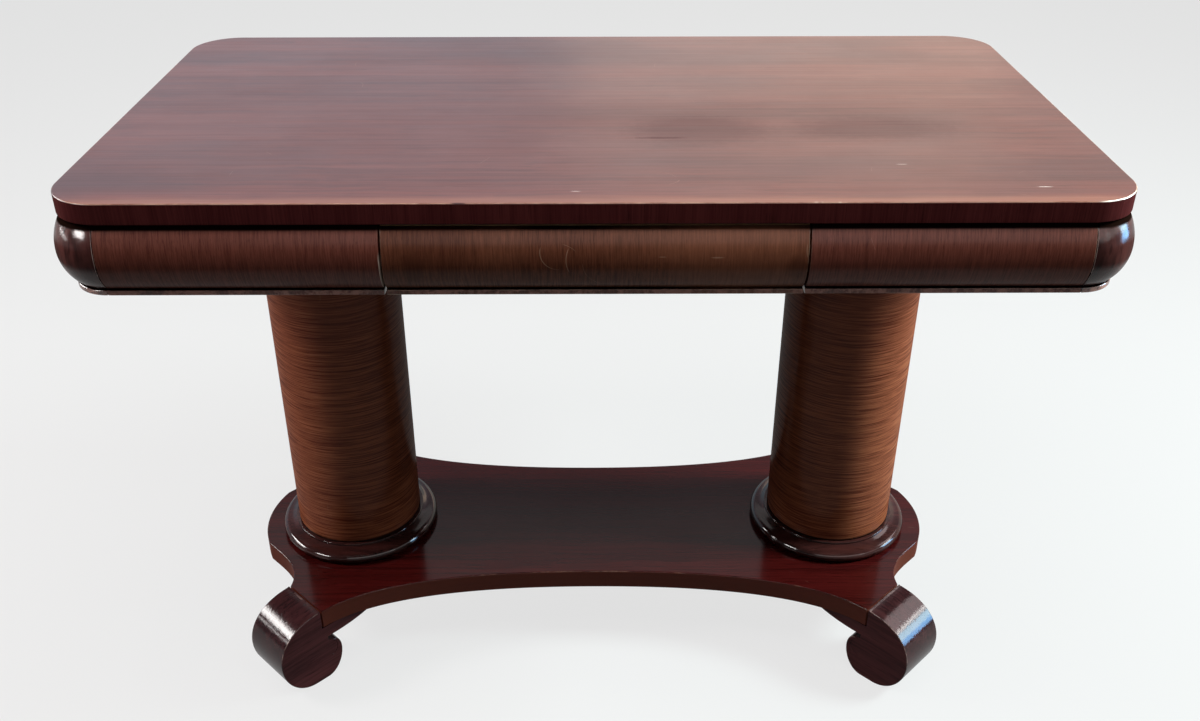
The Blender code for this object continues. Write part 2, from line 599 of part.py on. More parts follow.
def make_column(name, side, platform):
    """A coopered column with end plugs, its base ring and the rod that clamps it all together."""
    x = side * COLUMN_X

    def turned(label, profile, steps, finish, closed=True):
        place(make_object(label, turned_mesh(label, profile, steps, closed), finish), (x, 0.0, 0.0))

    foot, head = PLATFORM_TOP + GLUE_GAP, BEARER_UNDERSIDE - GLUE_GAP
    shell = sleeve(BORE_RADIUS, COLUMN_RADIUS, foot, head)
    turned(f"column_{name}", shell, ROUND_STEPS, "column_veneer")
    for end, bottom in (("lower", foot), ("upper", head - PLUG_THICKNESS)):
        plug = sleeve(ROD_HOLE_RADIUS, BORE_RADIUS - GLUE_GAP, bottom, bottom + PLUG_THICKNESS)
        turned(f"{end}_plug_{name}", plug, PLUG_STEPS, "raw_poplar")
    turned(f"base_ring_{name}", ring_profile(), ROUND_STEPS, "dark_turning")

    # Washer, nut and rod end go down from the platform's counterbore and up from the bearer
    stack = WASHER_THICKNESS + GLUE_GAP + NUT_HEIGHT + ROD_PROUD
    recess = PLATFORM_UNDERSIDE + stack + 2 * GLUE_GAP
    rod_low, rod_high = recess - GLUE_GAP - stack, BEARER_TOP + GLUE_GAP + stack
    rod = [(0.0, rod_high), (ROD_DIAMETER / 2, rod_high), (ROD_DIAMETER / 2, rod_low), (0.0, rod_low)]
    turned(f"tie_rod_{name}", rod, SMALL_STEPS, "plain_steel", closed=False)
    bore = ROD_DIAMETER / 2 + GLUE_GAP
    circumradius = NUT_ACROSS_FLATS / 2 / math.cos(math.pi / NUT_SIDES)
    hexagon = arc((0.0, 0.0), circumradius, 0.0, 2 * math.pi, NUT_SIDES)[:-1]
    hole = arc((0.0, 0.0), bore, 0.0, 2 * math.pi, SMALL_STEPS)[:-1]
    washers = {"lower": recess - GLUE_GAP - WASHER_THICKNESS, "upper": BEARER_TOP + GLUE_GAP}
    nuts = {"lower": washers["lower"] - GLUE_GAP - NUT_HEIGHT,
            "upper": washers["upper"] + WASHER_THICKNESS + GLUE_GAP}
    for end in ("lower", "upper"):
        profile = sleeve(bore, WASHER_DIAMETER / 2, washers[end], washers[end] + WASHER_THICKNESS)
        turned(f"{end}_washer_{name}", profile, SMALL_STEPS, "plain_steel")
        label = f"{end}_nut_{name}"
        nut = make_object(label, board_mesh(label, [hexagon, hole], NUT_HEIGHT), "plain_steel")
        place(nut, (x, 0.0, nuts[end] + NUT_HEIGHT / 2))

    over, under = PLATFORM_TOP + CUT_OVERRUN, PLATFORM_UNDERSIDE - CUT_OVERRUN
    mouth = COUNTERBORE_DIAMETER / 2
    well = [(0.0, over), (ROD_HOLE_RADIUS, over), (ROD_HOLE_RADIUS, recess), (mouth, recess),
            (mouth, under), (0.0, under)]
    drill(platform, well, x, 0.0)


def arm_middle(side_x, side_y):
    """Middle of a clipped arm of the platform."""
    return side_x * (COLUMN_X + ARM_OUT), side_y * ARM_FORWARD


def make_platform():
    """The platform: waisted sides, round ends about the columns, and four clipped arms."""
    arm = arm_middle(1, -1)
    inner_corner = moved(arm, FOOT_ANGLE, -FOOT_WIDTH / 2)
    outer_corner = moved(arm, FOOT_ANGLE, FOOT_WIDTH / 2)
    waist = (0.0, -PLATFORM_WAIST / 2)
    waist_pull = (WAIST_PULL, waist[1])
    arm_pull = moved(inner_corner, -FOOT_ANGLE, -ARM_PULL)
    front = bezier(waist, waist_pull, arm_pull, inner_corner, 2 * CURVE_STEPS)
    lobe = arc((COLUMN_X, 0.0), LOBE_RADIUS, -LOBE_END, 0.0, CURVE_STEPS // 2)
    exit_pull = moved(outer_corner, math.pi / 2 + NOTCH_EXIT, NOTCH_EXIT_PULL)
    entry_pull = moved(lobe[0], -math.pi / 2 - NOTCH_ENTRY, NOTCH_ENTRY_PULL)
    notch = bezier(outer_corner, exit_pull, entry_pull, lobe[0], CURVE_STEPS)
    quarter = front + notch + lobe[1:]
    half = quarter + [(x, -y) for x, y in reversed(quarter[:-1])]
    outline = half + [(-x, y) for x, y in reversed(half[1:-1])]
    shape = board_mesh("platform", [outline], PLATFORM_THICKNESS)
    middle = (0.0, 0.0, PLATFORM_UNDERSIDE + PLATFORM_THICKNESS / 2)
    return place(make_object("platform", shape, "platform_mahogany"), middle)


def quarter_curve(start, end, leaves_upright):
    """A quarter of an ellipse that leaves its start upright and ends level, or the other way round."""
    across, up = ((end[k] - start[k]) * QUARTER_PULL for k in (0, 1))
    if leaves_upright:
        pulls = (start[0], start[1] + up), (end[0] - across, end[1])
    else:
        pulls = (start[0] + across, start[1]), (end[0], end[1] - up)
    return bezier(start, *pulls, end, CURVE_STEPS // 2)


def foot_outline():
    """A C-scroll in side view: shoulder, belly, pad, curl, notch, and the heel under the arm."""
    shoulder = (FOOT_SEAM, PLATFORM_TOP)
    belly = (FOOT_REACH, BELLY_HEIGHT)
    pad_end, pad_start = (PAD_START + PAD_LENGTH, 0.0), (PAD_START, 0.0)
    curl = (-VOLUTE_REACH, VOLUTE_MIDDLE)
    rim = (-VOLUTE_END, VOLUTE_TOP)
    heel_low = PLATFORM_UNDERSIDE - HEEL_DEPTH
    seat = PLATFORM_UNDERSIDE - GLUE_GAP
    outline = bezier(shoulder, (shoulder[0] + SHOULDER_PULL, shoulder[1]),
                     (belly[0], belly[1] + BELLY_PULL), belly, CURVE_STEPS)
    outline += quarter_curve(belly, pad_end, True)[1:]
    outline += quarter_curve(pad_start, curl, False)
    outline += quarter_curve(curl, rim, True)[1:]
    outline += [(-NICK_ROOT, VOLUTE_TOP + NICK_SLOPE), (-NICK_ROOT, heel_low)]
    heel_end = (-HEEL_LENGTH, seat)
    outline += bezier((-VOLUTE_END, heel_low), (-VOLUTE_END - HEEL_PULL, heel_low), heel_end, heel_end,
                      CURVE_STEPS // 2)
    return outline + [(FOOT_SEAM, seat)]


def make_foot(where, side_x, side_y, platform):
    """A scroll foot hooked over the end of a clipped arm and screwed up through its heel."""
    heading = math.atan2(side_y * math.sin(FOOT_ANGLE), side_x * math.cos(FOOT_ANGLE))
    arm = arm_middle(side_x, side_y)
    name = f"scroll_foot_{where}"
    foot = make_object(name, board_mesh(name, [foot_outline()], FOOT_WIDTH), "scroll_mahogany")
    place(foot, (*arm, 0.0), heading)
    x, y = moved(arm, heading, -FOOT_SCREW_SET)
    heel_low = PLATFORM_UNDERSIDE - HEEL_DEPTH
    drive_screw(f"foot_screw_{where}", x, y, PLATFORM_TOP - SCREW_TIP_COVER, heel_low, [foot, platform])


for old in list(bpy.data.objects):
    bpy.data.objects.remove(old)

parts = bpy.data.collections.new("pedestal_library_table")
cutters = bpy.data.collections.new("cutters")
bpy.context.scene.collection.children.link(parts)
bpy.context.scene.collection.children.link(cutters)

table = bpy.data.objects.new("table", None)
parts.objects.link(table)
drawer = bpy.data.objects.new("drawer", None)
drawer.parent = table
drawer.location = (0.0, -CREST_Y, CREST_LEVEL)
parts.objects.link(drawer)

CORNERS = {"front_left": (-1, -1), "front_right": (1, -1), "rear_left": (-1, 1), "rear_right": (1, 1)}
SIDES = {"left": -1, "right": 1}

top_panel = make_top()
apron = make_apron()
platform_board = make_platform()
for corner, (corner_x, corner_y) in CORNERS.items():
    make_corner(f"corner_block_{corner}", corner_x, corner_y)
    make_brace(corner, corner_x, corner_y, top_panel)
    make_foot(corner, corner_x, corner_y, platform_board)
for which, sign in SIDES.items():
    make_bearer(f"bearer_{which}", sign, (apron[f"front_{which}"], apron["rear"]))
    make_runner(which, sign)
    make_column(which, sign, platform_board)
make_drawer()
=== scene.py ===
"""Double-pedestal library table in mahogany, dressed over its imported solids.

The sections follow the table as it is put together, from the feet up to the top, and the studio
comes last. Units are metres, +Z is up, and the drawer opens towards -Y.
"""
import math

import bmesh
import bpy
from mathutils import Matrix, Vector


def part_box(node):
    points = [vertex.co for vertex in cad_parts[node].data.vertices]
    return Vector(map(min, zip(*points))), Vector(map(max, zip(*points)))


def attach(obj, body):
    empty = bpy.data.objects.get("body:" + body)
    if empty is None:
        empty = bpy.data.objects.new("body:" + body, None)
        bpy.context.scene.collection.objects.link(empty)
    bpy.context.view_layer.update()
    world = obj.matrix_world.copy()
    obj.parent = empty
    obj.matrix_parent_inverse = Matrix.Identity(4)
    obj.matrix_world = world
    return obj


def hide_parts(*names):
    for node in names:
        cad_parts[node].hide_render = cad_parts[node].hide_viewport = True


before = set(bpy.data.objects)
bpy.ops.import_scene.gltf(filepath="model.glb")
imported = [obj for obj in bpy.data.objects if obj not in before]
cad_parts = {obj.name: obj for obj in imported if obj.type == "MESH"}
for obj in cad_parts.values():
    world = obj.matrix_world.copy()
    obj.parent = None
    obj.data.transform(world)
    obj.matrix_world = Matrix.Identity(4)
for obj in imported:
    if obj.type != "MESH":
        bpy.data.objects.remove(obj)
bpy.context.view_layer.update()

# Scroll feet
# Four C-scrolls band-sawn from thick mahogany blocks, their arrises eased by hand and a short spiral
# cut into both cheeks. Each hooks over a clipped arm of the platform and is screwed through its heel.
FOOT_WIDTH = 0.076
FOOT_ANGLE = math.radians(45)
FOOT_SEAM = 0.0025               # open seam between the arm's end and the foot's shoulder
FOOT_REACH = 0.0706
FOOT_EASING = 0.0012
BELLY_HEIGHT = 0.060             # height of the outermost point
SHOULDER_PULL = 0.041
BELLY_PULL = 0.035
PAD_START = 0.003                # flat spot that rests on the floor
PAD_LENGTH = 0.019
VOLUTE_REACH = 0.0245            # innermost point of the curl, inside the clipped end
VOLUTE_MIDDLE = 0.040
VOLUTE_TOP = 0.0605
VOLUTE_END = 0.013               # where the curl's rim turns into the notch
NICK_ROOT = 0.005
NICK_SLOPE = 0.0032
HEEL_DEPTH = 0.0195              # heel under the arm, beside the notch
HEEL_LENGTH = 0.102
HEEL_PULL = 0.060
HEEL_FEATHER = 0.006             # the heel's thin tip keeps a sharp arris
FOOT_SCREW_SET = 0.050           # screw from the clipped arm
SCREW_WELL_RADIUS = 0.0053
SCREW_WELL_DEPTH = 0.009
SCREW_WELL_STEPS = 24
SPIRAL_TURNS = 0.42
SPIRAL_START = 0.0195            # radii of the incised spiral
SPIRAL_END = 0.0105
SPIRAL_LINE = 0.0007
SPIRAL_MIDDLE = (-0.002, 0.0445)  # outwards from the clipped arm, and up
SPIRAL_LEAVES = math.radians(98)
SPIRAL_STEPS = 48
SPIRAL_NOSE_STEPS = 8
ARM_X = 0.399                    # middle of a clipped arm
ARM_Y = 0.182
CORNERS = {"front_left": (-1, -1), "front_right": (1, -1), "rear_left": (-1, 1), "rear_right": (1, 1)}
CURVE_STEPS = 36
QUARTER_PULL = 0.55              # pull that makes a cubic curve a quarter of an ellipse
EASING_STEPS = 3
SHARP_TURN = math.radians(40)    # arrises sharper than this are eased
CREASE = math.radians(38)        # edges sharper than this break the smooth shading
ARRIS_TURN = math.radians(20)    # edges of a rounded arris turn more than this, and less than CREASE
FLAT = 0.9                       # a face is square to an axis when its normal has this much of it
WELD = 1e-5
FOOT_DARK = (0.010, 0.0028, 0.0033, 1.0)
FOOT_LIGHT = (0.034, 0.0098, 0.0105, 1.0)
FOOT_GLOSS = (0.095, 0.05, 0.56, 0.20)
CHEEK_DARK = (0.024, 0.0062, 0.0072, 1.0)
CHEEK_LIGHT = (0.085, 0.0235, 0.0250, 1.0)
CHEEK_GLOSS = (0.34, 0.16, 0.13, 0.20)
# pale arrises of the feet: partly wear, partly a painted highlight along the eased edges
FOOT_WORN_AND_SHEEN = (0.260, 0.170, 0.155, 1.0)
FOOT_GRAIN = (9.0, 190.0, 190.0)  # streaks to the metre along each axis
BLOCK_STEP = Vector((0.0, 0.31, 0.17))  # from one foot's place in the grain to the next foot's
FIGURES = {                      # scale on the drawn grain, detail, roughness and levels of each figure
    "Streak": (1.0, 5.0, 0.62, (0.30, 0.70)),
    "Band": (0.17, 2.0, 0.5, (0.33, 0.67)),
    "Pore": (3.1, 1.0, 0.5, (0.60, 0.74)),
}
DRIFT_SCALE = 11.0
PORE_DEPTH = 0.45
GRAIN_STRENGTH = 0.10
GRAIN_RELIEF = 0.0004
WEAR_SCALE = 26.0
WEAR_LEVEL = 0.78                # an arris is worn where its noise is above this,
WEAR_DROP = 0.5                  # less this share of the amount of wear
WEAR_CONTRAST = 5.0
SMEAR_SCALE = 7.0
SMEAR_LEVELS = (0.3, 0.7)
HAIRLINE_SCALE = 13.0
HAIRLINE_LEVELS = (0.0016, 0.0004)
HAIRLINE_GAPS = 29.0             # scale of the noise that leaves only a few hairlines
HAIRLINE_GAP_LEVELS = (0.66, 0.70)
HAIRLINE_DEPTH = 0.35
LUMP_SCALE = 240.0
LUMP_RELIEF = 0.0008


def add_node(tree, kind, inputs=None, out=0, **settings):
    """Adds a node, with its settings and its sockets filled by values or links, and gives one output."""
    made = tree.nodes.new(kind)
    for name, value in settings.items():
        setattr(made, name, value)
    for key, value in (inputs or {}).items():
        if isinstance(value, bpy.types.NodeSocket):
            tree.links.new(value, made.inputs[key])
        else:
            made.inputs[key].default_value = value
    return made.outputs[out]


def calc(tree, operation, first, second=0.0, clamp=False):
    """One step of arithmetic."""
    return add_node(tree, "ShaderNodeMath", {0: first, 1: second}, operation=operation, use_clamp=clamp)


def product(tree, *factors):
    """Values multiplied together."""
    total = factors[0]
    for factor in factors[1:]:
        total = calc(tree, "MULTIPLY", total, factor)
    return total


def span(tree, value, low, high, smooth=True):
    """A value stretched so that low becomes 0 and high becomes 1."""
    how = "SMOOTHSTEP" if smooth else "LINEAR"
    return add_node(tree, "ShaderNodeMapRange", {0: value, 1: low, 2: high}, interpolation_type=how)


def vector(tree, operation, first, second, out=0):
    """One step of arithmetic on vectors."""
    return add_node(tree, "ShaderNodeVectorMath", {0: first, 1: second}, out, operation=operation)


def noise(tree, place, scale, detail=2.0, roughness=0.5, out=0):
    settings = {"Vector": place, "Scale": scale, "Detail": detail, "Roughness": roughness}
    return add_node(tree, "ShaderNodeTexNoise", settings, out)


def mixed(tree, factor, first, second, how="MIX"):
    """Two colours mixed by a factor."""
    sockets = {0: factor, 6: first, 7: second}
    return add_node(tree, "ShaderNodeMix", sockets, 2, data_type="RGBA", blend_type=how)


def new_group(name, kind, inputs, outputs):
    """A node group: the tree, what it is given and what it puts out. Its sockets are named under the
    kind of value that they carry."""
    tree = bpy.data.node_groups.new(name, kind)
    for way, sockets in (("INPUT", inputs), ("OUTPUT", outputs)):
        for carries, labels in sockets.items():
            for label in labels:
                tree.interface.new_socket(label, in_out=way, socket_type=f"NodeSocket{carries}")
    given = tree.nodes.new("NodeGroupInput").outputs
    result = tree.nodes.new("NodeGroupOutput").inputs
    return tree, given, result


def use_group(tree, group, inputs):
    """Places a group in a material, and gives all that it puts out."""
    return add_node(tree, "ShaderNodeGroup", inputs, node_tree=group).node.outputs


def mahogany_grain():
    """Streaks, broad bands and pores drawn out along the grain, at set counts to the metre."""
    tree, given, result = new_group(
        "mahogany_grain", "ShaderNodeTree", {"Vector": ("Place", "Grain"), "Float": ("Waver",)},
        {"Float": FIGURES})
    drift = vector(tree, "SUBTRACT", noise(tree, given["Place"], DRIFT_SCALE, out=1), (0.5, 0.5, 0.5))
    drift = add_node(tree, "ShaderNodeVectorMath", {0: drift, "Scale": given["Waver"]}, operation="SCALE")
    drawn = vector(tree, "MULTIPLY", vector(tree, "ADD", given["Place"], drift), given["Grain"])
    for label, (scale, detail, roughness, levels) in FIGURES.items():
        figure = span(tree, noise(tree, drawn, scale, detail, roughness), *levels)
        tree.links.new(figure, result[label])
    return tree


def worn_arris():
    """Where rubbing has taken the finish off an arris: in patches, and more with a greater amount."""
    tree, given, result = new_group(
        "worn_arris", "ShaderNodeTree", {"Vector": ("Place",), "Float": ("Arris", "Amount")},
        {"Float": ("Worn",)})
    edge = calc(tree, "SUBTRACT", WEAR_LEVEL, product(tree, given["Amount"], WEAR_DROP))
    patch = calc(tree, "SUBTRACT", noise(tree, given["Place"], WEAR_SCALE, detail=4.0, roughness=0.7), edge)
    patch = calc(tree, "MULTIPLY", patch, WEAR_CONTRAST, clamp=True)
    tree.links.new(product(tree, patch, given["Arris"]), result["Worn"])
    return tree


def handled_polish():
    """Smears of wax and handling, and a few hairline scratches."""
    tree, given, result = new_group(
        "handled_polish", "ShaderNodeTree", {"Vector": ("Place",)}, {"Float": ("Smear", "Scratch")})
    smear = noise(tree, given["Place"], SMEAR_SCALE, detail=4.0, roughness=0.6)
    tree.links.new(span(tree, smear, *SMEAR_LEVELS), result["Smear"])
    line = calc(tree, "SUBTRACT", noise(tree, given["Place"], HAIRLINE_SCALE, detail=0.0), 0.5)
    line = span(tree, calc(tree, "ABSOLUTE", line), *HAIRLINE_LEVELS, smooth=False)
    few = span(tree, noise(tree, given["Place"], HAIRLINE_GAPS, detail=1.0), *HAIRLINE_GAP_LEVELS)
    tree.links.new(product(tree, line, few), result["Scratch"])
    return tree


GRAIN, WEAR, POLISH = mahogany_grain(), worn_arris(), handled_polish()


def mahogany(name, grain, colours, gloss, waver, wear, source=None, bands=0.4):
    """Stained and polished mahogany. Colours are the dark and light of the figure and the worn arris;
    gloss is the polish's roughness, the share of it that smears take, how much polish there is and how
    lumpy it lies; bands is the share of the figure's broad bands."""
    material = bpy.data.materials.new(name)
    material.use_nodes = True
    tree = material.node_tree
    shader = tree.nodes["Principled BSDF"].inputs
    if source is None:
        place = add_node(tree, "ShaderNodeTexCoord", out="Object")
    else:
        place = add_node(tree, "ShaderNodeAttribute", out="Vector", attribute_name=source)
    arris = add_node(tree, "ShaderNodeAttribute", out="Fac", attribute_name="arris")
    wood = use_group(tree, GRAIN, {"Place": place, "Grain": grain, "Waver": waver})
    polish = use_group(tree, POLISH, {"Place": place})
    rubbed = use_group(tree, WEAR, {"Place": place, "Arris": arris, "Amount": wear})
    dark, light, worn = colours
    streaks, broad = product(tree, wood["Streak"], 1.0 - bands), product(tree, wood["Band"], bands)
    colour = mixed(tree, calc(tree, "ADD", streaks, broad), dark, light)
    colour = mixed(tree, product(tree, wood["Pore"], PORE_DEPTH), colour, dark, "MULTIPLY")
    colour = mixed(tree, product(tree, polish["Scratch"], HAIRLINE_DEPTH), colour, worn)
    tree.links.new(mixed(tree, rubbed["Worn"], colour, worn), shader["Base Color"])
    roughness, smear, coat, lumps = gloss
    smeared = product(tree, polish["Smear"], smear)
    tree.links.new(calc(tree, "ADD", roughness, smeared), shader["Roughness"])
    tree.links.new(product(tree, calc(tree, "SUBTRACT", 1.0, smeared), coat), shader["Coat Weight"])
    shader["Coat Roughness"].default_value = roughness
    shader["Specular IOR Level"].default_value = 0.0
    relief = calc(tree, "SUBTRACT", wood["Streak"], wood["Pore"])
    lump = noise(tree, place, LUMP_SCALE, detail=4.0, roughness=0.6)
    for socket, strength, distance, height in (("Normal", GRAIN_STRENGTH, GRAIN_RELIEF, relief),
                                               ("Coat Normal", lumps, LUMP_RELIEF, lump)):
        bump = {"Strength": strength, "Distance": distance, "Height": height}
        tree.links.new(add_node(tree, "ShaderNodeBump", bump), shader[socket])
    return material


def bezier(start, pull_out, pull_in, end, steps=CURVE_STEPS):
    """Points on a cubic curve in a plane, both ends included."""
    points = []
    for i in range(steps + 1):
        t = i / steps
        weights = ((1 - t) ** 3, 3 * t * (1 - t) ** 2, 3 * t * t * (1 - t), t ** 3)
        corners = (start, pull_out, pull_in, end)
        points.append(tuple(sum(w * c[k] for w, c in zip(weights, corners)) for k in (0, 1)))
    return points


def quarter_curve(start, end, leaves_upright):
    """A quarter of an ellipse that leaves its start upright and ends level, or the other way round."""
    across, up = ((end[k] - start[k]) * QUARTER_PULL for k in (0, 1))
    if leaves_upright:
        pulls = (start[0], start[1] + up), (end[0] - across, end[1])
    else:
        pulls = (start[0] + across, start[1]), (end[0], end[1] - up)
    return bezier(start, *pulls, end, CURVE_STEPS // 2)


def sawn_board(loop, low, high):
    """An outline in its own plane, given a thickness."""
    shape = bmesh.new()
    face = shape.faces.new([shape.verts.new((x, y, low)) for x, y in loop])
    extruded = bmesh.ops.extrude_face_region(shape, geom=[face])["geom"]
    raised = [part for part in extruded if isinstance(part, bmesh.types.BMVert)]
    bmesh.ops.translate(shape, verts=raised, vec=(0.0, 0.0, high - low))
    bmesh.ops.remove_doubles(shape, verts=shape.verts, dist=WELD)
    bmesh.ops.recalc_face_normals(shape, faces=shape.faces)
    return shape


def ease(shape, width, wanted=lambda edge: True):
    """Rounds the sharp outer arrises of a shape."""
    arrises = [edge for edge in shape.edges if len(edge.link_faces) == 2 and edge.is_convex
               and edge.calc_face_angle() > SHARP_TURN and wanted(edge)]
    bmesh.ops.bevel(shape, geom=arrises, offset=width, offset_type="OFFSET", segments=EASING_STEPS,
                    profile=0.5, affect="EDGES", clamp_overlap=False)


def to_mesh(name, shape):
    mesh = bpy.data.meshes.new(name)
    shape.to_mesh(mesh)
    shape.free()
    return mesh


def settled(drawn):
    """The plain mesh that an object's modifiers make, with the object put away."""
    mesh = bpy.data.meshes.new_from_object(drawn.evaluated_get(bpy.context.evaluated_depsgraph_get()))
    bpy.data.objects.remove(drawn)
    return mesh


def in_scene(name, data):
    drawn = bpy.data.objects.new(name, data)
    bpy.context.scene.collection.objects.link(drawn)
    return drawn


def joined(mesh):
    """A mesh as an open shape, its loose faces joined and its normals out."""
    shape = bmesh.new()
    shape.from_mesh(mesh)
    bmesh.ops.remove_doubles(shape, verts=shape.verts, dist=WELD)
    bmesh.ops.recalc_face_normals(shape, faces=shape.faces)
    return shape


def add_bore(tool, radius, depth, steps, place):
    """Adds a round bore to a cutter."""
    bmesh.ops.create_cone(tool, cap_ends=True, segments=steps, radius1=radius, radius2=radius, depth=depth,
                          matrix=place)


def hollowed(mesh, cutter):
    """A mesh with a cutter's room taken out of it."""
    target, tool = (in_scene(part.name, to_mesh(part.name, joined(part))) for part in (mesh, cutter))
    cut = target.modifiers.new("cut", "BOOLEAN")
    cut.object = tool
    cut.use_self = True
    made = settled(target)
    bpy.data.objects.remove(tool)
    return made


def mark_arrises(mesh):
    """Gives each point 1 on a rounded arris and 0 elsewhere, for the wear of the finish."""
    shape = bmesh.new()
    shape.from_mesh(mesh)
    worn = [0.0] * len(shape.verts)
    for edge in shape.edges:
        if len(edge.link_faces) == 2 and edge.is_convex and ARRIS_TURN < edge.calc_face_angle() < CREASE:
            for vertex in edge.verts:
                worn[vertex.index] = 1.0
    shape.free()
    mesh.attributes.new("arris", "FLOAT", "POINT").data.foreach_set("value", worn)


def finished(name, mesh, finishes, body, replaced, choose=None):
    """Makes a mesh a piece of the table: smooth faces with even normals, marked arrises, its finishes,
    the body that it rides on, and the solids that it stands for."""
    shape = joined(mesh)
    for face in shape.faces:
        face.material_index = choose(face) if choose else 0
    mesh.materials.clear()
    for finish in finishes:
        mesh.materials.append(finish)
    shape.to_mesh(mesh)
    shape.free()
    mesh.shade_smooth()
    mesh.set_sharp_from_angle(angle=CREASE)
    drawn = in_scene(f"{name}_drawn", mesh)
    drawn.modifiers.new("even_normals", "WEIGHTED_NORMAL").keep_sharp = True
    made = settled(drawn)
    mark_arrises(made)
    made.name = name
    piece = in_scene(name, made)
    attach(piece, body)
    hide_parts(*replaced)


def geometry_tree(name, sizes, **others):
    """A geometry tree with other inputs by kind, named sizes, and a finish."""
    inputs = {**others, "Float": sizes, "Material": ("Finish",)}
    return new_group(name, "GeometryNodeTree", inputs, {"Geometry": ("Geometry",)})


def form(tree, kind, inputs, **settings):
    """One node of a geometry tree."""
    return add_node(tree, f"GeometryNode{kind}", inputs, **settings)


def swept(tree, path, section, caps=True):
    """A section carried along a path."""
    return form(tree, "CurveToMesh", {"Curve": path, "Profile Curve": section, "Fill Caps": caps})


def close_tree(tree, geometry, given, result):
    """Ends a geometry tree: instances made real, faces smooth, and the finish set."""
    geometry = form(tree, "RealizeInstances", {"Geometry": geometry})
    geometry = form(tree, "SetShadeSmooth", {"Geometry": geometry})
    geometry = form(tree, "SetMaterial", {"Geometry": geometry, "Material": given["Finish"]})
    tree.links.new(geometry, result["Geometry"])
    return tree


def grown(tree, values, start=None):
    """The plain mesh that a geometry tree makes, with its inputs set by name, from a starting mesh."""
    carrier = in_scene(tree.name, start or bpy.data.meshes.new(tree.name))
    modifier = carrier.modifiers.new(tree.name, "NODES")
    modifier.node_group = tree
    for socket in tree.interface.items_tree:
        if socket.in_out == "INPUT" and socket.name in values:
            modifier[socket.identifier] = values[socket.name]
    return settled(carrier)


def incised_spiral():
    """A round-nosed cut along a spiral."""
    tree, given, result = geometry_tree("incised_spiral", ("Turns", "Start Radius", "End Radius", "Line"))
    path = form(tree, "CurveSpiral",
                {"Resolution": SPIRAL_STEPS, "Rotations": given["Turns"], "Height": 0.0, "Reverse": True,
                 "Start Radius": given["Start Radius"], "End Radius": given["End Radius"]})
    nose = form(tree, "CurvePrimitiveCircle", {"Resolution": SPIRAL_NOSE_STEPS, "Radius": given["Line"]})
    return close_tree(tree, swept(tree, path, nose), given, result)


platform_low, platform_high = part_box("platform")[0].z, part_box("platform")[1].z
scroll_finish = mahogany("scroll_mahogany", FOOT_GRAIN, (FOOT_DARK, FOOT_LIGHT, FOOT_WORN_AND_SHEEN), FOOT_GLOSS,
                         waver=0.006, wear=0.65, source="grain_place")
cheek_finish = mahogany("scroll_cheek", FOOT_GRAIN, (CHEEK_DARK, CHEEK_LIGHT, FOOT_WORN_AND_SHEEN), CHEEK_GLOSS,
                        waver=0.006, wear=0.65, source="grain_place")


def foot_loop():
    """A C-scroll in side view: shoulder, belly, pad, curl, notch, and the heel under the arm."""
    shoulder = (FOOT_SEAM, platform_high)
    belly = (FOOT_REACH, BELLY_HEIGHT)
    pad_end, pad_start = (PAD_START + PAD_LENGTH, 0.0), (PAD_START, 0.0)
    curl, rim = (-VOLUTE_REACH, VOLUTE_MIDDLE), (-VOLUTE_END, VOLUTE_TOP)
    heel_low, heel_end = platform_low - HEEL_DEPTH, (-HEEL_LENGTH, platform_low)
    loop = bezier(shoulder, (shoulder[0] + SHOULDER_PULL, shoulder[1]),
                  (belly[0], belly[1] + BELLY_PULL), belly)
    loop += quarter_curve(belly, pad_end, True)[1:]
    loop += quarter_curve(pad_start, curl, False)
    loop += quarter_curve(curl, rim, True)[1:]
    loop += [(-NICK_ROOT, VOLUTE_TOP + NICK_SLOPE), (-NICK_ROOT, heel_low)]
    loop += bezier((-VOLUTE_END, heel_low), (-VOLUTE_END - HEEL_PULL, heel_low), heel_end, heel_end)
    return loop + [(FOOT_SEAM, platform_low)]


def foot_shape():
    """One foot about its arm: outwards along X, up along Y, across along Z."""
    shape = sawn_board(foot_loop(), -FOOT_WIDTH / 2, FOOT_WIDTH / 2)
    ease(shape, FOOT_EASING, lambda edge: all(
        v.co.y < platform_low - HEEL_FEATHER or v.co.x > FOOT_SEAM + WELD for v in edge.verts))
    spiral = grown(incised_spiral(), {"Turns": SPIRAL_TURNS, "Start Radius": SPIRAL_START,
                                      "End Radius": SPIRAL_END, "Line": SPIRAL_LINE,
                                      "Finish": scroll_finish})
    tool = bmesh.new()
    for cheek in (-1, 1):
        laid = spiral.copy()
        laid.transform(Matrix.Translation((*SPIRAL_MIDDLE, cheek * FOOT_WIDTH / 2))
                       @ Matrix.Rotation(SPIRAL_LEAVES, 4, "Z"))
        tool.from_mesh(laid)
    well = Matrix.Translation((-FOOT_SCREW_SET, platform_low - HEEL_DEPTH, 0.0))
    add_bore(tool, SCREW_WELL_RADIUS, 2 * SCREW_WELL_DEPTH, SCREW_WELL_STEPS,
             well @ Matrix.Rotation(math.radians(90), 4, "X"))
    return hollowed(to_mesh("foot", shape), to_mesh("foot_tool", tool))


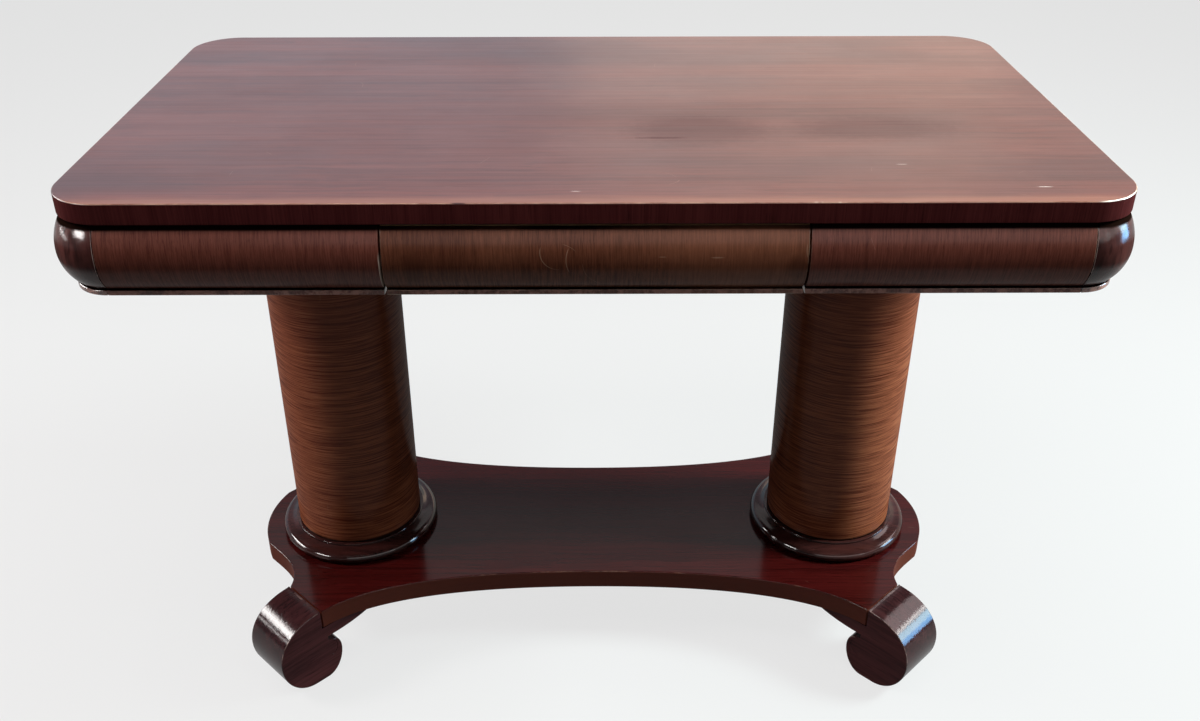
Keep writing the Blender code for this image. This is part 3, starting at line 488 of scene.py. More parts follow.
plain_foot = foot_shape()
for number, (where, (side_x, side_y)) in enumerate(CORNERS.items()):
    mesh = plain_foot.copy()
    places = [value for v in mesh.vertices for value in v.co + number * BLOCK_STEP]
    mesh.attributes.new("grain_place", "FLOAT_VECTOR", "POINT").data.foreach_set("vector", places)
    out = Vector((side_x * math.cos(FOOT_ANGLE), side_y * math.sin(FOOT_ANGLE), 0.0))
    up = Vector((0.0, 0.0, 1.0))
    across = out.cross(up)
    turn = Matrix((out, up, across)).transposed().to_4x4()
    mesh.transform(Matrix.Translation((side_x * ARM_X, side_y * ARM_Y, 0.0)) @ turn)
    finished(f"foot_{where}", mesh, [scroll_finish, cheek_finish], "table",
             [f"scroll_foot_{where}"], lambda face: int(abs(face.normal.dot(across)) > FLAT))

# Platform
# One wide mahogany board, sawn to a waist with round ends about the columns and four clipped arms.
# It rests on the feet's heels, and two counterbored holes underneath take the tie rods' nuts.
PLATFORM_EASING = 0.0018
PLATFORM_WAIST = 0.254
COLUMN_X = 0.351
LOBE_RADIUS = 0.1395
LOBE_END = math.radians(27)      # where the round end turns into the notch
NOTCH_ENTRY = math.radians(45)   # the outline's slant where it leaves the round end
NOTCH_EXIT = math.radians(9)     # and where it meets the clipped arm
NOTCH_ENTRY_PULL = 0.045
NOTCH_EXIT_PULL = 0.038
WAIST_PULL = 0.200
ARM_PULL = 0.075
WELL_RADIUS = 0.017
WELL_AIR = 0.0003
WELL_STEPS = 48
PLATFORM_DARK = (0.013, 0.0011, 0.0011, 1.0)
PLATFORM_LIGHT = (0.040, 0.0034, 0.0031, 1.0)
PLATFORM_WORN = (0.150, 0.070, 0.050, 1.0)
PLATFORM_GRAIN = (4.0, 240.0, 240.0)
PLATFORM_GLOSS = (0.14, 0.08, 0.44, 0.03)
SAWN_EDGE = 0.0005               # the browner sawn edge starts this far under the surface
SAWN_EDGE_DEPTH = 0.55
SAWN_EDGE_DULLS = 0.8            # share of the polish that the sawn edge has lost
EDGE_BROWN = (0.150, 0.0370, 0.0210, 1.0)
RAW_DARK = (0.105, 0.0480, 0.0270, 1.0)
RAW_LIGHT = (0.190, 0.0980, 0.0560, 1.0)
RAW_GRAIN = (4.0, 150.0, 150.0)
RAW_GLOSS = (0.67, 0.15, 0.22, 0.0)
SIDES = {"left": -1, "right": 1}


def arc(centre, radius, start, end, steps=CURVE_STEPS):
    """Points on a circular arc, both ends included."""
    angles = [start + (end - start) * i / steps for i in range(steps + 1)]
    return [(centre[0] + radius * math.cos(a), centre[1] + radius * math.sin(a)) for a in angles]


def moved(point, angle, distance):
    """A point shifted by a distance in a direction of the plan."""
    return point[0] + distance * math.cos(angle), point[1] + distance * math.sin(angle)


def platform_loop():
    """The plan: a quarter of the outline, mirrored twice."""
    arm = (ARM_X, -ARM_Y)
    inner_corner = moved(arm, FOOT_ANGLE, -FOOT_WIDTH / 2)
    outer_corner = moved(arm, FOOT_ANGLE, FOOT_WIDTH / 2)
    waist = (0.0, -PLATFORM_WAIST / 2)
    arm_pull = moved(inner_corner, -FOOT_ANGLE, -ARM_PULL)
    front = bezier(waist, (WAIST_PULL, waist[1]), arm_pull, inner_corner, 2 * CURVE_STEPS)
    lobe = arc((COLUMN_X, 0.0), LOBE_RADIUS, -LOBE_END, 0.0, CURVE_STEPS // 2)
    exit_pull = moved(outer_corner, math.pi / 2 + NOTCH_EXIT, NOTCH_EXIT_PULL)
    entry_pull = moved(lobe[0], -math.pi / 2 - NOTCH_ENTRY, NOTCH_ENTRY_PULL)
    notch = bezier(outer_corner, exit_pull, entry_pull, lobe[0])
    quarter = front + notch + lobe[1:]
    half = quarter + [(x, -y) for x, y in reversed(quarter[:-1])]
    return half + [(-x, y) for x, y in reversed(half[1:-1])]


def off_arm_end(edge):
    """Tells the arrises that are rubbed from those of the clipped ends, which the feet cover."""
    away = (math.hypot(abs(v.co.x) - ARM_X, abs(v.co.y) - ARM_Y) for v in edge.verts)
    return max(away) > FOOT_WIDTH / 2 + WELD


def stain(material, mask, colour):
    """Lays a colour over a material's own where a mask says."""
    tree = material.node_tree
    base = tree.nodes["Principled BSDF"].inputs["Base Color"]
    tree.links.new(mixed(tree, mask, base.links[0].from_socket, colour), base)


def dull(material, left):
    """Leaves only a share of a material's polish where a mask says."""
    tree = material.node_tree
    coat = tree.nodes["Principled BSDF"].inputs["Coat Weight"]
    tree.links.new(product(tree, coat.links[0].from_socket, left), coat)


def on_object(material):
    """A material's tree, and a place on the table there, whole and by its axes."""
    tree = material.node_tree
    place = add_node(tree, "ShaderNodeTexCoord", out="Object")
    return tree, place, add_node(tree, "ShaderNodeSeparateXYZ", {0: place}).node.outputs


platform_finish = mahogany("platform_mahogany", PLATFORM_GRAIN,
                           (PLATFORM_DARK, PLATFORM_LIGHT, PLATFORM_WORN), PLATFORM_GLOSS,
                           waver=0.010, wear=0.52)
tree, _, axes = on_object(platform_finish)
edge_band = span(tree, axes["Z"], platform_high - SAWN_EDGE, platform_high - PLATFORM_EASING)
stain(platform_finish, product(tree, edge_band, SAWN_EDGE_DEPTH), EDGE_BROWN)
dull(platform_finish, calc(tree, "SUBTRACT", 1.0, product(tree, edge_band, SAWN_EDGE_DULLS)))
raw_finish = mahogany("raw_mahogany", RAW_GRAIN, (RAW_DARK, RAW_LIGHT, RAW_LIGHT), RAW_GLOSS,
                      waver=0.006, wear=0.0)
shape = sawn_board(platform_loop(), platform_low, platform_high)
ease(shape, PLATFORM_EASING, off_arm_end)
wells = bmesh.new()
for name, side in SIDES.items():
    well_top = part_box(f"lower_washer_{name}")[1].z + WELL_AIR
    add_bore(wells, WELL_RADIUS, 2 * (well_top - platform_low), WELL_STEPS,
             Matrix.Translation((side * COLUMN_X, 0.0, platform_low)))
mesh = hollowed(to_mesh("platform_board", shape), to_mesh("wells", wells))
finished("platform_board", mesh, [platform_finish, raw_finish], "table", ["platform"],
         lambda face: int(face.normal.z < -FLAT))

# Base rings
# Turned mahogany rings, a flat bead against the column, a hollow and a full half-round. They are
# slipped over the columns' feet, glued to the platform and polished nearly black.
COLUMN_RADIUS = 0.089
RING_WIDTH = 0.0245
RING_ROUND = 0.0082
RING_BEAD_WIDTH = 0.0045
RING_BEAD_HEIGHT = 0.0030
RING_BEAD_EASING = 0.0008
RING_COVE = 0.0008
GLUE_GAP = 0.0003
TURNING_STEPS = 160
RING_DARK = (0.011, 0.0034, 0.0032, 1.0)
RING_LIGHT = (0.040, 0.0110, 0.0095, 1.0)
RING_WORN = (0.180, 0.090, 0.065, 1.0)
RING_GRAIN = (14.0, 120.0, 120.0)
RING_GLOSS = (0.10, 0.06, 0.62, 0.05)


def along(tree, path, given, result, caps):
    """Ends a tree with its section carried along a path, upright all the way."""
    path = form(tree, "SetCurveNormal", {"Curve": path}, mode="Z_UP")
    section = form(tree, "MeshToCurve", {"Mesh": given["Section"]})
    return close_tree(tree, swept(tree, path, section, caps), given, result)


def turned_piece():
    """A section carried round a circle, as on a lathe."""
    tree, given, result = geometry_tree("turned_piece", ("Radius",), Geometry=("Section",), Int=("Steps",))
    path = form(tree, "CurvePrimitiveCircle", {"Resolution": given["Steps"], "Radius": given["Radius"]})
    return along(tree, path, given, result, False)


TURNING = turned_piece()


def section_mesh(points):
    """A moulding's section as an edge loop: distance out along X, and height turned to -Y."""
    mesh = bpy.data.meshes.new("section")
    edges = [(i, (i + 1) % len(points)) for i in range(len(points))]
    mesh.from_pydata([(x, -z, 0.0) for x, z in points], edges, [])
    return mesh


def turned(points, side, finish):
    """A closed section, given by radius and height, spun about the axis of a column."""
    section = section_mesh([(r - COLUMN_RADIUS, z) for r, z in points])
    mesh = grown(TURNING, {"Radius": COLUMN_RADIUS, "Steps": TURNING_STEPS, "Finish": finish}, section)
    mesh.transform(Matrix.Translation((side * COLUMN_X, 0.0, 0.0)))
    return mesh


def ring_section():
    inner = COLUMN_RADIUS + GLUE_GAP
    ring_low, ring_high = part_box("base_ring_left")[0].z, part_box("base_ring_left")[1].z
    bead, outer = inner + RING_BEAD_WIDTH, COLUMN_RADIUS + RING_WIDTH
    slope_start = (bead, ring_high - RING_BEAD_HEIGHT)
    slope_end = (outer - RING_ROUND, ring_low + 2 * RING_ROUND)
    hollow = tuple((a + b) / 2 for a, b in zip(slope_start, slope_end))
    hollow = (hollow[0], hollow[1] - RING_COVE)
    corner = (bead - RING_BEAD_EASING, ring_high - RING_BEAD_EASING)
    points = [(inner, ring_high)] + arc(corner, RING_BEAD_EASING, math.pi / 2, 0.0, EASING_STEPS)
    points += bezier(slope_start, hollow, hollow, slope_end, CURVE_STEPS // 2)
    points += arc((outer - RING_ROUND, ring_low + RING_ROUND), RING_ROUND, math.pi / 2, -math.pi / 2)[1:]
    return points + [(inner, ring_low)]


ring_finish = mahogany("dark_turning", RING_GRAIN, (RING_DARK, RING_LIGHT, RING_WORN), RING_GLOSS,
                       waver=0.008, wear=0.45)
for name, side in SIDES.items():
    finished(f"ring_{name}", turned(ring_section(), side, ring_finish), [ring_finish], "table",
             [f"base_ring_{name}"])

# Columns
# Hollow columns coopered from poplar staves and turned true, with mahogany veneer wrapped round them
# so that its grain runs level. They stand on the platform and carry the cross bearers.
COLUMN_WALL = 0.036
COLUMN_EASING = 0.0010
COLUMN_DARK = (0.056, 0.0088, 0.0050, 1.0)
COLUMN_LIGHT = (0.305, 0.0960, 0.0445, 1.0)
COLUMN_WORN = (0.320, 0.170, 0.100, 1.0)
COLUMN_FOOT_SHADE = (0.010, 0.0040, 0.0030, 1.0)
COLUMN_GRAIN = (15.0, 15.0, 800.0)
COLUMN_GLOSS = (0.22, 0.14, 0.12, 0.10)
FOOT_SHADE_HEIGHT = 0.0045               # height of the painted shade round the column's foot, where it meets the ring
HEAD_SHADE = 0.34                # height of the painted shade under the apron, darkest at the column's top
HEAD_SHADE_DEPTH = 0.55

column_finish = mahogany("column_veneer", COLUMN_GRAIN, (COLUMN_DARK, COLUMN_LIGHT, COLUMN_WORN),
                         COLUMN_GLOSS, waver=0.003, wear=0.3, bands=0.08)
tree, _, axes = on_object(column_finish)
ring_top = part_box("base_ring_left")[1].z
# painted shade: a dark band round the column's foot, against the ring
stain(column_finish, span(tree, axes["Z"], ring_top + FOOT_SHADE_HEIGHT, ring_top + FOOT_SHADE_HEIGHT / 3), COLUMN_FOOT_SHADE)
low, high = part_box("column_left")[0].z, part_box("column_left")[1].z
# painted shade under the apron: the veneer darkens towards the column's top
head = span(tree, axes["Z"], high - HEAD_SHADE, high)
stain(column_finish, product(tree, head, HEAD_SHADE_DEPTH), COLUMN_DARK)
inner, eased_radius = COLUMN_RADIUS - COLUMN_WALL, COLUMN_RADIUS - COLUMN_EASING
points = [(inner, high), (eased_radius, high), (COLUMN_RADIUS, high - COLUMN_EASING),
          (COLUMN_RADIUS, low + COLUMN_EASING), (eased_radius, low), (inner, low)]
for name, side in SIDES.items():
    finished(f"veneered_column_{name}", turned(points, side, column_finish), [column_finish], "table",
             [f"column_{name}"])

# Column plugs, bearers, braces and drawer guides
# The hidden frame in raw poplar: plugs in the columns' ends, bearers across the apron, braces behind
# the corner blocks, and the runners, kickers and stops that guide the drawer. The solids stay as cut.
POPLAR_DARK = (0.205, 0.125, 0.062, 1.0)
POPLAR_LIGHT = (0.365, 0.250, 0.138, 1.0)
POPLAR_GRIME = (0.125, 0.072, 0.038, 1.0)
POPLAR_GLOSS = (0.69, 0.14, 0.16, 0.0)
POPLAR_GRIME_SCALE = 5.0
POPLAR_GRIME_LEVELS = (0.5, 0.8)
ALONG_X, ALONG_Y = (2.5, 85.0, 85.0), (85.0, 2.5, 85.0)


def poplar(name, grain):
    """Bare poplar: plain soft streaks, darkened in patches with age."""
    material = mahogany(name, grain, (POPLAR_DARK, POPLAR_LIGHT, POPLAR_LIGHT), POPLAR_GLOSS,
                        waver=0.008, wear=0.0)
    tree, place, _ = on_object(material)
    aged = span(tree, noise(tree, place, POPLAR_GRIME_SCALE, detail=3.0), *POPLAR_GRIME_LEVELS)
    stain(material, aged, POPLAR_GRIME)
    return material


poplar_x, poplar_y = poplar("poplar_along_x", ALONG_X), poplar("poplar_along_y", ALONG_Y)


def dress(node, finish):
    """Gives a solid that stays as it is its finish."""
    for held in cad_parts[node].material_slots:
        held.material = finish


for name in SIDES:
    for node in ("lower_plug", "upper_plug"):
        dress(f"{node}_{name}", poplar_x)
    for node in ("bearer", "drawer_runner", "drawer_kicker", "drawer_stop"):
        dress(f"{node}_{name}", poplar_y)
for where in CORNERS:
    dress(f"corner_brace_{where}", poplar_x)

# Tie rods, washers and nuts
# A mild steel rod through each column clamps platform, column and bearer together. It is threaded at
# both ends for a washer and a hexagon nut, and all of it has dulled with age.
ROD_RADIUS = 0.006
THREAD_PITCH = 0.00175
THREAD_LENGTH = 0.030
THREAD_SIZE = 0.0006
THREAD_STEPS = 16
THREAD_SIDES = 4
WASHER_RADIUS = 0.015
WASHER_THICKNESS = 0.0025
WASHER_SIDES = 64
NUT_ACROSS_FLATS = 0.019
NUT_HEIGHT = 0.010
NUT_DOME = 0.0112                # radius of the ball that trims the nut's corners
NUT_SIDES = 6
DOME_STEPS = (48, 24)
BORE_RADIUS = 0.0063
ROUND_SIDES = 32                 # sides of a rod, a bore or a screw's head
STEEL_DARK = (0.120, 0.105, 0.092, 1.0)
STEEL_LIGHT = (0.440, 0.420, 0.390, 1.0)
STEEL_RUST = (0.180, 0.075, 0.030, 1.0)
STEEL_CLOUD_SCALE = 90.0
STEEL_CLOUD_LEVELS = (0.3, 0.7)
STEEL_ROUGHNESS = 0.38
RUST_SCALE = 210.0
RUST_LEVELS = (0.56, 0.66)
RUST_ROUGHNESS = 0.4             # added to the steel's own


def steel():
    """Dull steel with specks of rust."""
    material = bpy.data.materials.new("plain_steel")
    material.use_nodes = True
    tree, place, _ = on_object(material)
    shader = tree.nodes["Principled BSDF"].inputs
    cloud = noise(tree, place, STEEL_CLOUD_SCALE, detail=4.0, roughness=0.6)
    rust = span(tree, noise(tree, place, RUST_SCALE, detail=3.0, roughness=0.6), *RUST_LEVELS)
    bare = mixed(tree, span(tree, cloud, *STEEL_CLOUD_LEVELS), STEEL_DARK, STEEL_LIGHT)
    tree.links.new(mixed(tree, rust, bare, STEEL_RUST), shader["Base Color"])
    tree.links.new(calc(tree, "SUBTRACT", 1.0, rust), shader["Metallic"])
    rough = calc(tree, "ADD", STEEL_ROUGHNESS, product(tree, rust, RUST_ROUGHNESS))
    tree.links.new(rough, shader["Roughness"])
    return material


def on_points(tree, shape, given, result):
    """Ends a tree with one of a shape on each point that it is given."""
    copies = form(tree, "InstanceOnPoints", {"Points": given["Places"], "Instance": shape})
    return close_tree(tree, copies, given, result)


def cylinder(tree, sides, radius, length):
    return form(tree, "MeshCylinder", {"Vertices": sides, "Radius": radius, "Depth": length})


def less(tree, body, tool):
    """A body with a tool's room taken out of it."""
    return form(tree, "MeshBoolean", {"Mesh 1": body, "Mesh 2": tool}, operation="DIFFERENCE")


def bored(tree, body, radius, height):
    """A body of a certain height with a bore right through it."""
    return less(tree, body, cylinder(tree, ROUND_SIDES, radius, product(tree, height, 2.0)))


def lifted(tree, geometry, height):
    """Geometry raised by a height."""
    shift = add_node(tree, "ShaderNodeCombineXYZ", {"Z": height})
    return form(tree, "Transform", {"Geometry": geometry, "Translation": shift})


def together(tree, kind, socket, parts, **settings):
    """A node that takes all its parts through one socket."""
    made = form(tree, kind, {}, **settings).node
    for part in parts:
        tree.links.new(part, made.inputs[socket])
    return made.outputs[0]


def hexagon_nut():
    """A hexagon with domed corners and a plain bore."""
    tree, given, result = geometry_tree("hexagon_nut", ("Across Flats", "Height", "Dome", "Bore"),
                                        Geometry=("Places",))
    corner = calc(tree, "DIVIDE", given["Across Flats"], 2 * math.cos(math.pi / NUT_SIDES))
    bar = cylinder(tree, NUT_SIDES, corner, given["Height"])
    ball = form(tree, "MeshUVSphere",
                {"Segments": DOME_STEPS[0], "Rings": DOME_STEPS[1], "Radius": given["Dome"]})
    domed = together(tree, "MeshBoolean", "Mesh 2", (bar, ball), operation="INTERSECT")
    return on_points(tree, bored(tree, domed, given["Bore"], given["Height"]), given, result)


def plate_washer():
    """A flat disc with a bore."""
    tree, given, result = geometry_tree("plate_washer", ("Radius", "Thickness", "Bore"),
                                        Geometry=("Places",))
    disc = cylinder(tree, WASHER_SIDES, given["Radius"], given["Thickness"])
    return on_points(tree, bored(tree, disc, given["Bore"], given["Thickness"]), given, result)


def threaded_rod():
    """A plain rod with a raised thread at each end."""
    tree, given, result = geometry_tree(
        "threaded_rod", ("Radius", "Length", "Thread Length", "Pitch", "Thread Size"), Geometry=("Places",))
    core = calc(tree, "SUBTRACT", given["Radius"], given["Thread Size"])
    bar = cylinder(tree, ROUND_SIDES, core, given["Length"])
    turns = calc(tree, "DIVIDE", given["Thread Length"], given["Pitch"])
    ridge = form(tree, "CurvePrimitiveCircle", {"Resolution": THREAD_SIDES, "Radius": given["Thread Size"]})
    helix = form(tree, "CurveSpiral", {"Resolution": THREAD_STEPS, "Rotations": turns, "Start Radius": core,
                                       "End Radius": core, "Height": given["Thread Length"]})
    thread = swept(tree, helix, ridge)
    half = calc(tree, "DIVIDE", given["Length"], 2.0)
    lower = lifted(tree, thread, product(tree, half, -1.0))
    upper = lifted(tree, thread, calc(tree, "SUBTRACT", half, given["Thread Length"]))
    rod = together(tree, "JoinGeometry", "Geometry", (upper, lower, bar))
    return on_points(tree, rod, given, result)


def points_at(places):
    """Loose points for a tree to put its copies on."""
    mesh = bpy.data.meshes.new("places")
    mesh.from_pydata([tuple(place) for place in places], [], [])
    return mesh


def middle(node):
    low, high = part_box(node)
    return (low + high) / 2


def metalware(name, tree, values, replaced):
    """A group of like metal pieces, one where each of their solids is."""
    mesh = grown(tree, {**values, "Finish": steel_finish}, points_at(middle(node) for node in replaced))
    finished(name, mesh, [steel_finish], "table", replaced)


def at_rod_ends(kind):
    """The solids of one kind at the ends of both rods."""
    return [f"{end}_{kind}_{name}" for end in ("lower", "upper") for name in SIDES]


steel_finish = steel()
rod_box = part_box("tie_rod_left")
metalware("tie_rods", threaded_rod(),
          {"Radius": ROD_RADIUS, "Length": rod_box[1].z - rod_box[0].z, "Thread Length": THREAD_LENGTH,
           "Pitch": THREAD_PITCH, "Thread Size": THREAD_SIZE}, [f"tie_rod_{name}" for name in SIDES])
metalware("washers", plate_washer(),
          {"Radius": WASHER_RADIUS, "Thickness": WASHER_THICKNESS, "Bore": BORE_RADIUS},
          at_rod_ends("washer"))
metalware("hexagon_nuts", hexagon_nut(),
          {"Across Flats": NUT_ACROSS_FLATS, "Height": NUT_HEIGHT, "Dome": NUT_DOME, "Bore": BORE_RADIUS},
          at_rod_ends("nut"))

# Wood screws
# Slotted steel screws: one up through each foot's heel into the platform, and one up through each
# corner brace into the top. Their heads lie sunk in the wood.
SCREW_RADIUS = 0.0025
SCREW_POINT = 0.0010
SCREW_SIDES = 24
SCREW_HEAD_RADIUS = 0.005
SCREW_HEAD_HEIGHT = 0.003
SLOT_WIDTH = 0.0011
SLOT_DEPTH = 0.0012
SLOT_REACH = 3.0                 # length of the slot's cutter, in radii of the head


def slotted_screw():
    """A screw with its slotted head down and its point up, about the middle of its length."""
    tree, given, result = geometry_tree(
        "slotted_screw",
        ("Length", "Shank", "Point", "Head", "Head Height", "Slot Width", "Slot Depth"),
        Geometry=("Places",))
    head = form(tree, "MeshCone", {"Vertices": ROUND_SIDES, "Radius Top": given["Shank"],
                                   "Radius Bottom": given["Head"], "Depth": given["Head Height"]})
    slot = add_node(tree, "ShaderNodeCombineXYZ",
                    {"X": product(tree, given["Head"], SLOT_REACH), "Y": given["Slot Width"],
                     "Z": product(tree, given["Slot Depth"], 2.0)})
    head = less(tree, head, form(tree, "MeshCube", {"Size": slot}))
    long = calc(tree, "SUBTRACT", given["Length"], given["Head Height"])
    shank = form(tree, "MeshCone", {"Vertices": SCREW_SIDES, "Radius Top": given["Point"],
                                    "Radius Bottom": given["Shank"], "Depth": long})
    shank = lifted(tree, shank, given["Head Height"])
    screw = together(tree, "JoinGeometry", "Geometry", (shank, head))
    screw = lifted(tree, screw, calc(tree, "DIVIDE", given["Length"], -2.0))
    return on_points(tree, screw, given, result)


SCREW = slotted_screw()
for group in ("foot_screw", "top_screw"):
    screws = [f"{group}_{where}" for where in CORNERS]
    low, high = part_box(screws[0])
    metalware(f"{group}s", SCREW,
              {"Length": high.z - low.z, "Shank": SCREW_RADIUS, "Point": SCREW_POINT,
               "Head": SCREW_HEAD_RADIUS, "Head Height": SCREW_HEAD_HEIGHT, "Slot Width": SLOT_WIDTH,
               "Slot Depth": SLOT_DEPTH}, screws)

# Apron boards
# Poplar boards run through one cushion moulding, with a groove and a lip below it. Their faces carry
# upright mahogany veneer, and their flat backs are bare. The bearers' housings in the front and the
# rear are left out of these boards.
CUSHION_UPPER_RADIUS = 0.071
CUSHION_LOWER_RADIUS = 0.051
CUSHION_CREST = 0.040            # crest below the underside of the top
CUSHION_HEIGHT = 0.076
GROOVE_HEIGHT = 0.0025
GROOVE_INSET = 0.0180
LIP_INSET = 0.0145
LIP_ROUND = 0.0015
APRON_THICKNESS = 0.034
APRON_EASING = 0.0006
SEAM_AIR = 0.0007                # shrinkage that has opened the seams beside the corner blocks
VENEER_DEPTH = 0.0195            # faces further back than this from the crest are bare
APRON_DARK = (0.064, 0.0170, 0.0120, 1.0)
APRON_LIGHT = (0.126, 0.0385, 0.0260, 1.0)
APRON_WORN = (0.330, 0.200, 0.150, 1.0)
APRON_GRAIN, END_GRAIN = (760.0, 40.0, 40.0), (40.0, 760.0, 40.0)
APRON_GLOSS = (0.26, 0.12, 0.32, 0.05)
VENEER_BANDS = 0.2
# the lip's browner wood, made lighter in patches as a painted highlight
LIP_BROWN_AND_SHEEN = (0.340, 0.1500, 0.1150, 1.0)
LIP_FADE = (0.0002, 0.0004)      # above and below the lip's upper edge
LIP_PATCH_SCALE = 60.0
LIP_PATCH_LEVELS = (0.40, 0.62)
LIP_PATCH_DEPTH = 0.8
LIP_SHINE = 1.7                  # the lip's polish, next to the face's
# painted shade, with some old polish: near black in the groove and under the top's overhang
SHADE_AND_OLD_POLISH = (0.006, 0.0025, 0.0018, 1.0)
SHADE_FADE = 0.0012              # on either side of the groove
SHADE_LAP = 0.0002
SHADE_UNDER_TOP = (0.0082, 0.0055)  # where it starts under the top, and where it is full
DULLED = 0.10                    # share of the polish that is left on the rubbed crest
DULL_ABOVE = (0.011, 0.023)      # distances over which it comes back above the crest
DULL_BELOW = (0.004, 0.015)      # and below it
POLISH_BELOW = 0.7               # share of it that is left below
SEAM_PALE = (0.420, 0.320, 0.270, 1.0)
SEAM_RUB = (0.0020, 0.0012)      # pale end of the left front board, beside the drawer
SEAM_RUB_LAP = 0.001
SEAM_RUB_LOW = 0.004             # over the groove
SEAM_RUB_HIGH = 0.012            # over the crest

top_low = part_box("top_panel")[0].z
apron_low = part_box("apron_rear")[0].z
crest_level = top_low - CUSHION_CREST
groove_high = top_low - CUSHION_HEIGHT
lip_high = groove_high - GROOVE_HEIGHT
crest_x, crest_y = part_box("apron_end_right")[1].x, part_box("apron_rear")[1].y


def moulding_face(upper_edge):
    """The show face from its lip up to an edge, as distance out from the crest and height."""
    rounding = LIP_INSET + LIP_ROUND
    face = arc((-rounding, apron_low + LIP_ROUND), LIP_ROUND, -math.pi / 2, 0.0, EASING_STEPS)
    face += arc((-rounding, lip_high - LIP_ROUND), LIP_ROUND, 0.0, math.pi / 2, EASING_STEPS)
    face += [(-GROOVE_INSET, lip_high), (-GROOVE_INSET, groove_high)]
    low = math.asin((groove_high - crest_level) / CUSHION_LOWER_RADIUS)
    high = math.asin((upper_edge - crest_level) / CUSHION_UPPER_RADIUS)
    face += arc((-CUSHION_LOWER_RADIUS, crest_level), CUSHION_LOWER_RADIUS, low, 0.0)
    return face + arc((-CUSHION_UPPER_RADIUS, crest_level), CUSHION_UPPER_RADIUS, 0.0, high)[1:]


def moulding_run():
    """A section carried along a straight run, or round part of a circle."""
    tree, given, result = geometry_tree(
        "moulding_run", ("Radius", "From", "Sweep"), Geometry=("Section",), Bool=("Round",),
        Vector=("Start", "End"), Int=("Steps",))
    line = form(tree, "CurvePrimitiveLine", {"Start": given["Start"], "End": given["End"]})
    bend = form(tree, "CurveArc", {"Resolution": given["Steps"], "Radius": given["Radius"],
                                   "Start Angle": given["From"], "Sweep Angle": given["Sweep"]})
    bend = form(tree, "Transform", {"Geometry": bend, "Translation": given["Start"]})
    path = form(tree, "Switch", {"Switch": given["Round"], "False": line, "True": bend},
                input_type="GEOMETRY")
    return along(tree, path, given, result, True)


MOULDING = moulding_run()


def inward(place):
    """How far a place lies in from the crest of the nearest straight moulding."""
    return min(crest_x - abs(place.x), crest_y - abs(place.y))


def eased(mesh, width, wanted=lambda edge: True):
    """A mesh with its loose faces joined and its sharp outer arrises rounded."""
    shape = joined(mesh)
    ease(shape, width, wanted)
    shape.to_mesh(mesh)
    shape.free()
    return mesh


def board_run(start, end, upper_edge, finish, seats=()):
    """A straight length of apron, its show face on the right of the way it runs, with seats cut into
    it for other pieces and the face's own arrises eased."""
    back = [(-APRON_THICKNESS, upper_edge), (-APRON_THICKNESS, apron_low)]
    mesh = grown(MOULDING, {"Round": False, "Start": (*start, 0.0), "End": (*end, 0.0), "Finish": finish},
                 section_mesh(back[1:] + moulding_face(upper_edge) + back[:1]))
    for seat in seats:
        mesh = hollowed(mesh, seat)
    return eased(mesh, APRON_EASING, lambda edge: all(inward(v.co) < VENEER_DEPTH for v in edge.verts))


def veneered(face):
    """Veneer on the moulded face, bare wood on the back and the sawn ends."""
    return int(inward(face.calc_center_median()) >= VENEER_DEPTH)


def between(tree, value, low, low_full, high_full, high):
    """1 between two levels, fading to 0 outside them."""
    return product(tree, span(tree, value, low, low_full), span(tree, value, high, high_full))


def moulding_veneer(name, grain, colours, gloss, waver, wear):
    """The finish of a moulded face: veneer, a browner lip lightened in patches by a painted highlight, and
    painted shade, with some old polish, laid near black in the groove and under the top. The polish is
    rubbed dull along the crest and bright on the lip."""
    material = mahogany(name, grain, colours, gloss, waver, wear, bands=VENEER_BANDS)
    tree, place, axes = on_object(material)
    height = axes["Z"]
    # the lip: browner wood, with a painted highlight laid on in patches
    lip = span(tree, height, lip_high + LIP_FADE[0], lip_high - LIP_FADE[1])
    lip_sheen_patches = noise(tree, place, LIP_PATCH_SCALE, detail=3.0, roughness=0.7)
    lip_sheen_patches = span(tree, lip_sheen_patches, *LIP_PATCH_LEVELS)
    stain(material, product(tree, lip, lip_sheen_patches, LIP_PATCH_DEPTH), LIP_BROWN_AND_SHEEN)
    # painted shade: the groove and a strip under the top are laid near black, with some old polish
    groove_shade = between(tree, height, lip_high - SHADE_FADE, lip_high,
                        groove_high - SHADE_LAP, groove_high + SHADE_FADE)
    top_shade = span(tree, height, *(top_low - below for below in SHADE_UNDER_TOP))
    shade_and_polish = calc(tree, "MAXIMUM", groove_shade, top_shade)
    stain(material, shade_and_polish, SHADE_AND_OLD_POLISH)
    above = span(tree, height, *(crest_level + away for away in DULL_ABOVE))
    below = span(tree, height, *(crest_level - away for away in DULL_BELOW))
    off_crest = calc(tree, "MAXIMUM", above, product(tree, below, POLISH_BELOW))
    kept = calc(tree, "ADD", DULLED, product(tree, off_crest, 1.0 - DULLED))
    kept = product(tree, kept, calc(tree, "SUBTRACT", 1.0, shade_and_polish))
    dull(material, calc(tree, "MAXIMUM", kept, product(tree, lip, LIP_SHINE)))
    return material


